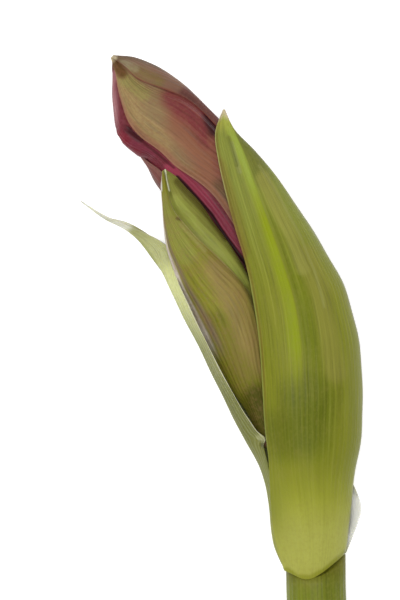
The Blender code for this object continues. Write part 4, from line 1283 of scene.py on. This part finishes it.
# %% The large bud's outer tepals
KHAKI_STROKES = {
    "tan": ([(-38.8, 112.5), (-35.5, 107.5), (-30.0, 99.5), (-25.5, 92.5), (-22.0, 86.0)], 6.0),
    "khaki": ([(-46.4, 116.7), (-44.8, 112.4), (-42.0, 107.7), (-37.1, 103.0)], 4.6),
    "red": ([(-31.6, 107.6), (-28.8, 104.0), (-26.4, 100.4), (-24.6, 96.0)], 6.0),
    "wine": ([(-33.6, 113.6), (-31.4, 111.6), (-28.6, 109.4), (-26.4, 107.0),
              (-25.0, 104.6)], 5.0),
    "brick": ([(-24.7, 105.6), (-24.1, 101.9), (-23.4, 98.1), (-22.2, 93.6)], 2.0),
    # painted shadow where the top tepal and the front valve's tip meet
    "shade_at_valve_tip": ([(-25.2, 109.3), (-24.2, 106.0)], 2.6),
    # painted shade along the front valve's margin, which overhangs the tepal
    "shade_beside_valve": ([(-22.9, 92.5), (-20.8, 86.4), (-18.6, 80.0), (-16.0, 70.0)], 3.0),
    "olive": ([(-45.4, 118.0), (-43.2, 116.4), (-41.0, 114.6)], 2.4),
    "hood": ([(-47.9, 122.4), (-47.2, 121.2), (-46.2, 119.6)], 1.9),
    "cream": ([(-49.2, 124.2), (-48.6, 123.0)], 1.3),
}
TOP_STROKES = {
    "pink": ([(-38.5, 119.4), (-35.6, 117.6), (-31.7, 115.0)], 3.2),
    "olive": ([(-43.6, 120.0), (-40.6, 118.8), (-37.6, 117.6)], 2.4),
    "pale": ([(-46.4, 122.2), (-44.6, 121.5), (-43.0, 120.7)], 1.4),
    "orange": ([(-42.6, 118.0), (-40.0, 116.6), (-37.1, 115.9), (-34.4, 115.4)], 1.1),
    "grey_strip": ([(-31.0, 114.6), (-27.0, 111.6), (-23.4, 108.2)], 2.6),
    "dark_rim": ([(-47.4, 123.4), (-44.8, 123.6), (-41.9, 123.1), (-39.0, 122.1),
                  (-36.0, 120.5)], 1.0),
    "hood": ([(-47.8, 122.3), (-46.8, 121.0), (-45.8, 119.4)], 1.3),
    "cream": ([(-49.2, 124.2), (-48.3, 123.4)], 1.3),
}


def painted_above(plain, table):
    """The strokes of a table, eased to nothing below the bud's widest height."""
    above = eased_in(plain[..., 2], -9.5, 3.5)
    return {name: mask * above for name, mask in strokes(plain, table).items()}


def khaki_washes(plain, across, lengthwise):
    """The front tepal's painted paths, and a rose hem along its low margin."""
    masks = painted_above(plain, KHAKI_STROKES)
    masks["hem"] = eased_in(across, 0.972, 0.02)
    masks["hem_rose"] = eased_in(across, 0.88, 0.07)
    masks["tucked"] = 1.0 - smoothstep(across / 0.04)
    return masks


def top_washes(plain, across, lengthwise):
    """The top tepal's painted paths, and a thin red hem."""
    masks = painted_above(plain, TOP_STROKES)
    masks["hem"] = eased_in(across, 0.975, 0.02)
    masks["green_foot"] = eased_out(lengthwise, 0.1, 0.4)
    return masks


def mauve_washes(plain, across, lengthwise):
    """The back tepal: greener towards its foot, cream at its tip, rosy at its upper edge."""
    return {
        "green_foot": eased_out(lengthwise, 0.1, 0.4),
        "cream": eased_in(lengthwise, 0.975, 0.02),
        "pink": band(across, 0.12, 0.12),
    }


khaki_skin = plant_skin(
    "khaki tepal skin", (0.248, 0.150, 0.080),
    [("tan", (0.270, 0.182, 0.078), 0.85), ("khaki", (0.352, 0.245, 0.098), 0.9),
     ("red", (0.285, 0.098, 0.052), 0.85), ("wine", (0.205, 0.032, 0.038), 0.95),
     ("brick", (0.265, 0.085, 0.055), 0.85),
     # painted shade beside the front valve's margin
     ("shade_beside_valve", (0.135, 0.072, 0.030), 0.8), ("olive", (0.30, 0.26, 0.075), 0.85),
     ("hood", (0.130, 0.060, 0.012), 0.95), ("cream", (0.56, 0.48, 0.28), 0.95),
     ("hem_rose", (0.34, 0.15, 0.085), 0.75), ("hem", (0.38, 0.17, 0.11), 0.6),
     ("tucked", (0.17, 0.025, 0.03), 0.6), ("inside", (0.27, 0.05, 0.06), 0.8)],
    pale=(0.40, 0.30, 0.15), count=TEPAL_RIBS, ribs=0.06, lift=0.08, drop=0.24,
    speck=(0.25, 0.10, 0.055), specks=0.3, blotches=0.12, roughness=0.52,
    # painted shadow where the top tepal and the front valve's tip meet
    shades=[("shade_at_valve_tip", (0.040, 0.005, 0.008), 0.92)])
top_skin = plant_skin(
    "top tepal skin", (0.205, 0.125, 0.075),
    [("pink", (0.230, 0.122, 0.075), 0.85), ("olive", (0.205, 0.145, 0.042), 0.85),
     ("pale", (0.31, 0.28, 0.15), 0.6), ("grey_strip", (0.130, 0.040, 0.036), 0.9),
     ("orange", (0.260, 0.090, 0.045), 0.75), ("dark_rim", (0.135, 0.085, 0.035), 0.85),
     ("hood", (0.140, 0.072, 0.030), 0.9), ("cream", (0.56, 0.48, 0.30), 0.95),
     ("green_foot", (0.26, 0.27, 0.07), 0.7), ("hem", (0.19, 0.05, 0.03), 0.8),
     ("inside", (0.27, 0.05, 0.06), 0.8)],
    pale=(0.32, 0.23, 0.16), count=TEPAL_RIBS, ribs=0.08, lift=0.1, drop=0.22,
    speck=(0.22, 0.09, 0.065), specks=0.3, blotches=0.2, roughness=0.52)
mauve_skin = plant_skin(
    "back tepal skin", (0.215, 0.118, 0.085),
    [("pink", (0.225, 0.068, 0.060), 0.85), ("green_foot", (0.26, 0.27, 0.07), 0.7),
     ("cream", (0.56, 0.48, 0.30), 0.95),
     ("inside", (0.27, 0.05, 0.06), 0.8)],
    pale=(0.33, 0.24, 0.17), count=TEPAL_RIBS, ribs=0.1, lift=0.1, drop=0.25,
    speck=(0.22, 0.09, 0.065), specks=0.3, blotches=0.25, roughness=0.52)

build_tepal("large_bud_front_tepal", "large_bud_outer_tepal_front", khaki_skin,
            "khaki_tepal", khaki_washes, rows=240, columns=96, pressed=(0.0, 0.3))
build_tepal("large_bud_top_tepal", "large_bud_outer_tepal_top", top_skin,
            "khaki_tepal", top_washes, rows=220, columns=80, pressed=(0.0, 0.78))
build_tepal("large_bud_back_tepal", "large_bud_outer_tepal_back", mauve_skin,
            "khaki_tepal", mauve_washes, rows=200, columns=56, pressed=(0.6, 0.0))

# %% [markdown]
# ## The crimson inner tepals
#
# The inner tepals hold the flower's own colour. Here it is a deep crimson, with a silky
# mauve shine painted as a highlight on folds that face the light, and painted shade near
# black in the creases. The low one shows as a rolled strip at the left, is creased there,
# and swells to a small bright flap before it runs down between the two buds.

# %% The inner tepals
CRIMSON_STROKES = {
    # painted highlight on the rolled edge at the left, where it faces the light
    "rolled_edge_highlight": ([(-48.5, 119.5), (-48.3, 114.3), (-48.1, 110.2), (-47.8, 106.2)], 1.5),
    # painted shade in the groove beside the rolled edge
    "shaded_groove": ([(-46.9, 117.0), (-46.2, 112.4), (-45.3, 109.0), (-44.3, 106.7)], 1.3),
    # painted shade, near black, in the crease above the flap
    "shaded_crease": ([(-45.9, 106.6), (-44.6, 105.8), (-43.2, 104.7), (-41.7, 103.6)], 0.95),
    # painted shade under the front tepal's hem
    "shade_under_hem": ([(-42.4, 104.2), (-39.5, 101.8), (-37.1, 99.8), (-33.8, 97.0)], 0.45),
    "flap": ([(-46.6, 104.4), (-45.2, 102.6), (-43.8, 101.0), (-42.6, 100.2)], 2.3),
    "swell": ([(-45.0, 102.4), (-43.6, 100.8), (-42.4, 100.0)], 2.8),
    "shine": ([(-43.3, 103.2), (-41.2, 101.9), (-38.6, 100.2)], 1.0),
    # painted shade in the dark gap between the two buds
    "gap_shade": ([(-33.0, 94.8), (-30.8, 92.6), (-27.6, 89.1), (-24.9, 86.0), (-22.8, 82.6),
             (-19.5, 78.0), (-16.2, 73.2)], 0.65),
    "bright_strip": ([(-34.8, 96.9), (-30.0, 93.1), (-26.9, 90.5), (-24.5, 86.9),
                      (-21.0, 81.7), (-18.6, 77.4)], 2.0),
}
CRIMSON_HEIGHTS = {
    "rolled_edge_highlight": 0.15, "flap": 0.5, "swell": 0.5, "shine": 0.1, "shaded_groove": -0.35, "shaded_crease": -0.25,
}


def crimson_relief(plain):
    """The rolled edge and the flap's swell stand up, the groove and the crease go down."""
    masks = strokes(plain, CRIMSON_STROKES)
    return sum(height * masks[mask_name] for mask_name, height in CRIMSON_HEIGHTS.items())


def crimson_washes(plain, across, lengthwise):
    """The crimson tepal's painted paths, and a pale foot."""
    masks = strokes(plain, CRIMSON_STROKES)
    masks["rolled_edge_highlight"] *= band(plain[..., 2], -4.2, 2.6) * eased_in(plain[..., 1], 104.0, 8.0)
    masks["shaded_crease"] *= eased_in(plain[..., 0], -46.9, 2.4)
    masks["foot"] = eased_out(lengthwise, 0.05, 0.3)
    return masks


crimson_skin = plant_skin(
    "crimson tepal skin", (0.165, 0.021, 0.032),
    [("bright_strip", (0.365, 0.046, 0.087), 0.9), ("flap", (0.200, 0.006, 0.018), 0.9),
     # a painted highlight on the rolled edge, and a painted shine beside the flap
     ("rolled_edge_highlight", (0.46, 0.21, 0.22), 0.9), ("shine", (0.20, 0.030, 0.055), 0.6),
     # painted shade in the groove
     ("shaded_groove", (0.135, 0.014, 0.016), 0.85),
     ("foot", (0.30, 0.22, 0.12), 0.7), ("inside", (0.30, 0.05, 0.06), 0.5)],
    pale=(0.27, 0.07, 0.09), count=18.0, ribs=0.03, lift=0.06, drop=0.22,
    speck=(0.26, 0.055, 0.075), specks=0.3, blotches=0.15, roughness=0.45,
    # painted shade in the crease, under the front tepal's hem and in the gap between the buds
    shades=[("shaded_crease", (0.040, 0.003, 0.006), 0.9), ("shade_under_hem", (0.070, 0.007, 0.011), 0.7),
            ("gap_shade", (0.020, 0.003, 0.004), 0.95)])

build_tepal("large_bud_crimson_low_tepal", "large_bud_inner_tepal_low", crimson_skin,
            "crimson_tepal", crimson_washes, rows=240, columns=80, relief=crimson_relief)
for node, name in (("large_bud_inner_tepal_high", "large_bud_crimson_high_tepal"),
                   ("large_bud_inner_tepal_rear", "large_bud_crimson_rear_tepal")):
    build_tepal(name, node, crimson_skin, "crimson_tepal", rows=120, columns=40)

# %% [markdown]
# ## The small bud
#
# The small bud is younger, still mostly green. Its front tepal is olive on the left and
# flushes brown and pink to the right, with a thin pinkish rim, and its foot is painted
# dark as shade where it sinks into the spathe. The right tepal is a fresh green, dark
# where the large bud shades it. Both end in small white horns.

# %% The small bud's outer tepals
SMALL_FRONT_STROKES = {
    "brown": ([(-23.0, 72.5), (-19.6, 65.5), (-16.8, 58.0), (-14.8, 50.0)], 5.0),
    "dull": ([(-23.6, 60.0), (-20.5, 53.0), (-17.0, 47.0), (-14.6, 42.0)], 4.6),
    "fresh": ([(-35.0, 89.0), (-33.6, 83.0), (-30.8, 76.0)], 3.4),
    "pale_border": ([(-32.0, 83.4), (-29.2, 80.4), (-26.4, 77.4)], 0.9),
    # painted shade where the foot sinks into the spathe
    "foot": ([(-14.4, 42.5), (-13.0, 37.0), (-11.6, 33.0)], 4.4),
    "spot": ([(-33.1, 84.8), (-32.3, 84.6)], 0.5),
    "sliver": ([(-37.1, 96.8), (-36.9, 91.6)], 0.5),
}
SMALL_RIGHT_STROKES = {
    "bright": ([(-33.4, 89.4), (-30.4, 85.4), (-26.0, 80.4), (-21.0, 74.9), (-17.2, 70.0)], 1.9),
    "shade": ([(-33.0, 93.6), (-31.2, 91.6), (-28.2, 88.4), (-25.3, 85.0), (-21.6, 80.2)], 1.25),
    "sliver": ([(-36.0, 97.4), (-35.6, 94.5), (-34.9, 91.5)], 0.24),
}


def small_front_washes(plain, across, lengthwise):
    """The olive tepal's painted paths, its two pale hems and a grey line beside the left."""
    masks = strokes(plain, SMALL_FRONT_STROKES)
    shown = eased_in(plain[..., 1], 50.0, 8.0)
    shown = shown * (1.0 - 0.3 * eased_in(plain[..., 1], 80.0, 10.0))
    masks["left_hem"] = eased_in(across, 0.75, 0.06) * shown
    masks["left_hem"] *= 1.0 - 0.55 * eased_in(across, 0.88, 0.1)
    masks["grey_line"] = band(across, 0.70, 0.05) * shown
    masks["right_hem"] = 1.0 - smoothstep(across / 0.02)
    return masks


def small_right_washes(plain, across, lengthwise):
    """The green tepal's painted paths and its pale hem."""
    masks = strokes(plain, SMALL_RIGHT_STROKES)
    masks["right_hem"] = 1.0 - smoothstep(across / 0.02)
    return masks


olive_skin = plant_skin(
    "olive tepal skin", (0.238, 0.232, 0.018),
    [("brown", (0.300, 0.222, 0.058), 0.9), ("dull", (0.168, 0.165, 0.008), 0.8),
     ("fresh", (0.265, 0.275, 0.045), 0.85), ("pale_border", (0.34, 0.31, 0.09), 0.7),
     # painted shade where the foot sinks into the spathe
     ("foot", (0.080, 0.074, 0.004), 0.9),
     ("spot", (0.08, 0.06, 0.02), 0.8), ("grey_line", (0.185, 0.130, 0.100), 0.8),
     ("left_hem", (0.68, 0.60, 0.54), 0.9), ("right_hem", (0.36, 0.28, 0.17), 0.6),
     ("sliver", (0.85, 0.82, 0.74), 1.0), ("inside", (0.30, 0.30, 0.12), 0.8)],
    pale=(0.35, 0.31, 0.10), count=TEPAL_RIBS, ribs=0.08, lift=0.1, drop=0.24,
    speck=(0.27, 0.16, 0.06), specks=0.3, blotches=0.25, roughness=0.52)
fresh_green_skin = plant_skin(
    "green tepal skin", (0.205, 0.212, 0.030),
    [("bright", (0.285, 0.315, 0.055), 0.85),
     ("right_hem", (0.34, 0.32, 0.18), 0.5), ("sliver", (0.72, 0.73, 0.50), 1.0),
     ("inside", (0.30, 0.30, 0.12), 0.8)],
    pale=(0.35, 0.38, 0.12), count=TEPAL_RIBS, ribs=0.1, lift=0.1, drop=0.22,
    speck=(0.27, 0.22, 0.06), specks=0.2, blotches=0.2, roughness=0.52,
    shades=[("shade", (0.090, 0.074, 0.006), 0.85)])
young_skin = plant_skin(
    "young inner tepal skin", (0.34, 0.15, 0.10), [("inside", (0.4, 0.2, 0.15), 0.5)],
    pale=(0.45, 0.26, 0.18), count=TEPAL_RIBS, ribs=0.15, lift=0.2, drop=0.35,
    speck=(0.4, 0.15, 0.14), specks=0.2, blotches=0.2, roughness=0.5)

build_tepal("small_bud_olive_tepal", "small_bud_outer_tepal_front", olive_skin,
            "olive_tepal", small_front_washes, rows=220, columns=84, pressed=(0.7, 0.3))
build_tepal("small_bud_green_tepal", "small_bud_outer_tepal_right", fresh_green_skin,
            "olive_tepal", small_right_washes, rows=220, columns=72)
build_tepal("small_bud_rear_tepal", "small_bud_outer_tepal_rear", fresh_green_skin,
            "olive_tepal", rows=160, columns=48)
for node, name in (("small_bud_inner_tepal_right", "small_bud_young_right_tepal"),
                   ("small_bud_inner_tepal_left", "small_bud_young_left_tepal"),
                   ("small_bud_inner_tepal_rear", "small_bud_young_rear_tepal")):
    build_tepal(name, node, young_skin, "crimson_tepal", rows=100, columns=32)

# %% [markdown]
# ## Stalks, ovaries and stamens
#
# Inside the spathe each bud stands on a short stalk that swells into the ovary, and six
# stamens and a style stand inside the bud. They hardly show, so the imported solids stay
# and only get a fresh green skin on object coordinates.

# %% A skin for the carried-over stalks
STALK_GREEN = (0.22, 0.28, 0.05)
STALK_MOTTLE = (0.36, 0.40, 0.13)
STALK_BUMP_DISTANCE = 0.0004


def stalk_skin_material():
    """Green with soft mottling, on object coordinates, because these have no UV map."""
    material, tree, shader = new_material("stalk and ovary skin")
    cells = group_node(tree, cells_and_specks, {
        "Colour": pigment(STALK_GREEN), "Speck": pigment(STALK_MOTTLE), "Amount": 0.6,
        "Per metre": 500.0})
    feed(tree, shader.inputs["Base Color"], cells["Colour"])
    feed(tree, shader.inputs["Roughness"], 0.45)
    bump_skin(tree, shader, cells["Height"], STALK_BUMP_DISTANCE)
    return material


stalk_skin = stalk_skin_material()
for node in ("large_bud_stalk_and_ovary", "small_bud_stalk_and_ovary"):
    solid_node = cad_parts[node]
    solid_node.data.materials.clear()
    solid_node.data.materials.append(stalk_skin)

# %% [markdown]
# ## Table, light and camera
#
# The flower was photographed against lit white. It lies on a table here, so the table is
# a light table: a wide pale floor with a faint glow of its own. An even white sky, a panel
# overhead and a weaker lamp from the upper left leave only a breath of shadow. The flower
# lies down here, so the camera looks straight down on it, with a long lens that keeps
# its outline as drawn.

# %% Floor
FLOOR_GLOW = 0.35
FLOOR_HALF = 6.0


def pale_floor():
    """A wide flat square at the height of the surface."""
    mesh = bpy.data.meshes.new("floor")
    corners = [(x * FLOOR_HALF, y * FLOOR_HALF, 0.0)
               for x, y in ((-1, -1), (1, -1), (1, 1), (-1, 1))]
    mesh.from_pydata(corners, [], [(0, 1, 2, 3)])
    floor = bpy.data.objects.new("floor", mesh)
    bpy.context.scene.collection.objects.link(floor)
    material, tree, shader = new_material("white card")
    for socket, value in (
            ("Base Color", (0.93, 0.93, 0.94, 1.0)), ("Roughness", 0.9),
            ("Specular IOR Level", 0.1), ("Emission Color", (1.0, 1.0, 1.0, 1.0)),
            ("Emission Strength", FLOOR_GLOW)):
        feed(tree, shader.inputs[socket], value)
    mesh.materials.append(material)
    floor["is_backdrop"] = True
    return floor


pale_floor()

# %% Light
SKY_STRENGTH = 0.6
BUDS = (0.0, 0.08, 0.01)

scene = bpy.context.scene
scene.view_settings.view_transform = "Standard"
world = bpy.data.worlds.new("white room")
scene.world = world
world.use_nodes = True
sky = world.node_tree.nodes["Background"]
sky.inputs["Color"].default_value = (1.0, 1.0, 1.0, 1.0)
sky.inputs["Strength"].default_value = SKY_STRENGTH


def soft_lamp(name, place, target, size, watts):
    """A large square lamp that faces a target point."""
    lamp = bpy.data.lights.new(name, "AREA")
    lamp.shape = "SQUARE"
    lamp.size = size
    lamp.energy = watts
    holder = bpy.data.objects.new(name, lamp)
    scene.collection.objects.link(holder)
    holder.location = place
    holder.rotation_euler = (Vector(place) - Vector(target)).to_track_quat("Z", "Y").to_euler()
    holder.visible_camera = False
    return holder


soft_lamp("ceiling panel", (0.0, 0.12, 2.2), BUDS, size=0.5, watts=27.0)
soft_lamp("window", (-0.75, 0.60, 0.95), BUDS, size=0.7, watts=4.0)

# %% Camera
# The sensor's width lies along the longer side of the picture, which is its height.
PICTURE_HEIGHT = 600
PIXELS_PER_MM = 4.2
PICTURE_CENTRE = (-27.6, 65.5, 0.0)
FOCAL_LENGTH = 500.0
SENSOR = 36.0

picture_centre = np.array(PICTURE_CENTRE) + flower_shift
distance = FOCAL_LENGTH / SENSOR * PICTURE_HEIGHT / PIXELS_PER_MM
camera_data = bpy.data.cameras.new("overhead")
camera_data.lens = FOCAL_LENGTH
camera_data.sensor_width = SENSOR
camera = bpy.data.objects.new("overhead", camera_data)
scene.collection.objects.link(camera)
camera.location = (picture_centre + np.array([0.0, 0.0, distance])) * MM
scene.camera = camera
print("camera height (m):", round(camera.location.z, 3))

# %% [markdown]
# ## Sizes, and the end
#
# The dressed flower has to keep the model's size, so both boxes are written side by side.

# %% Write both boxes and finish
visual_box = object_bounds()
for label, box in (("cad", cad_box), ("visual", visual_box)):
    print(label, [[round(value, 4) for value in corner] for corner in box])
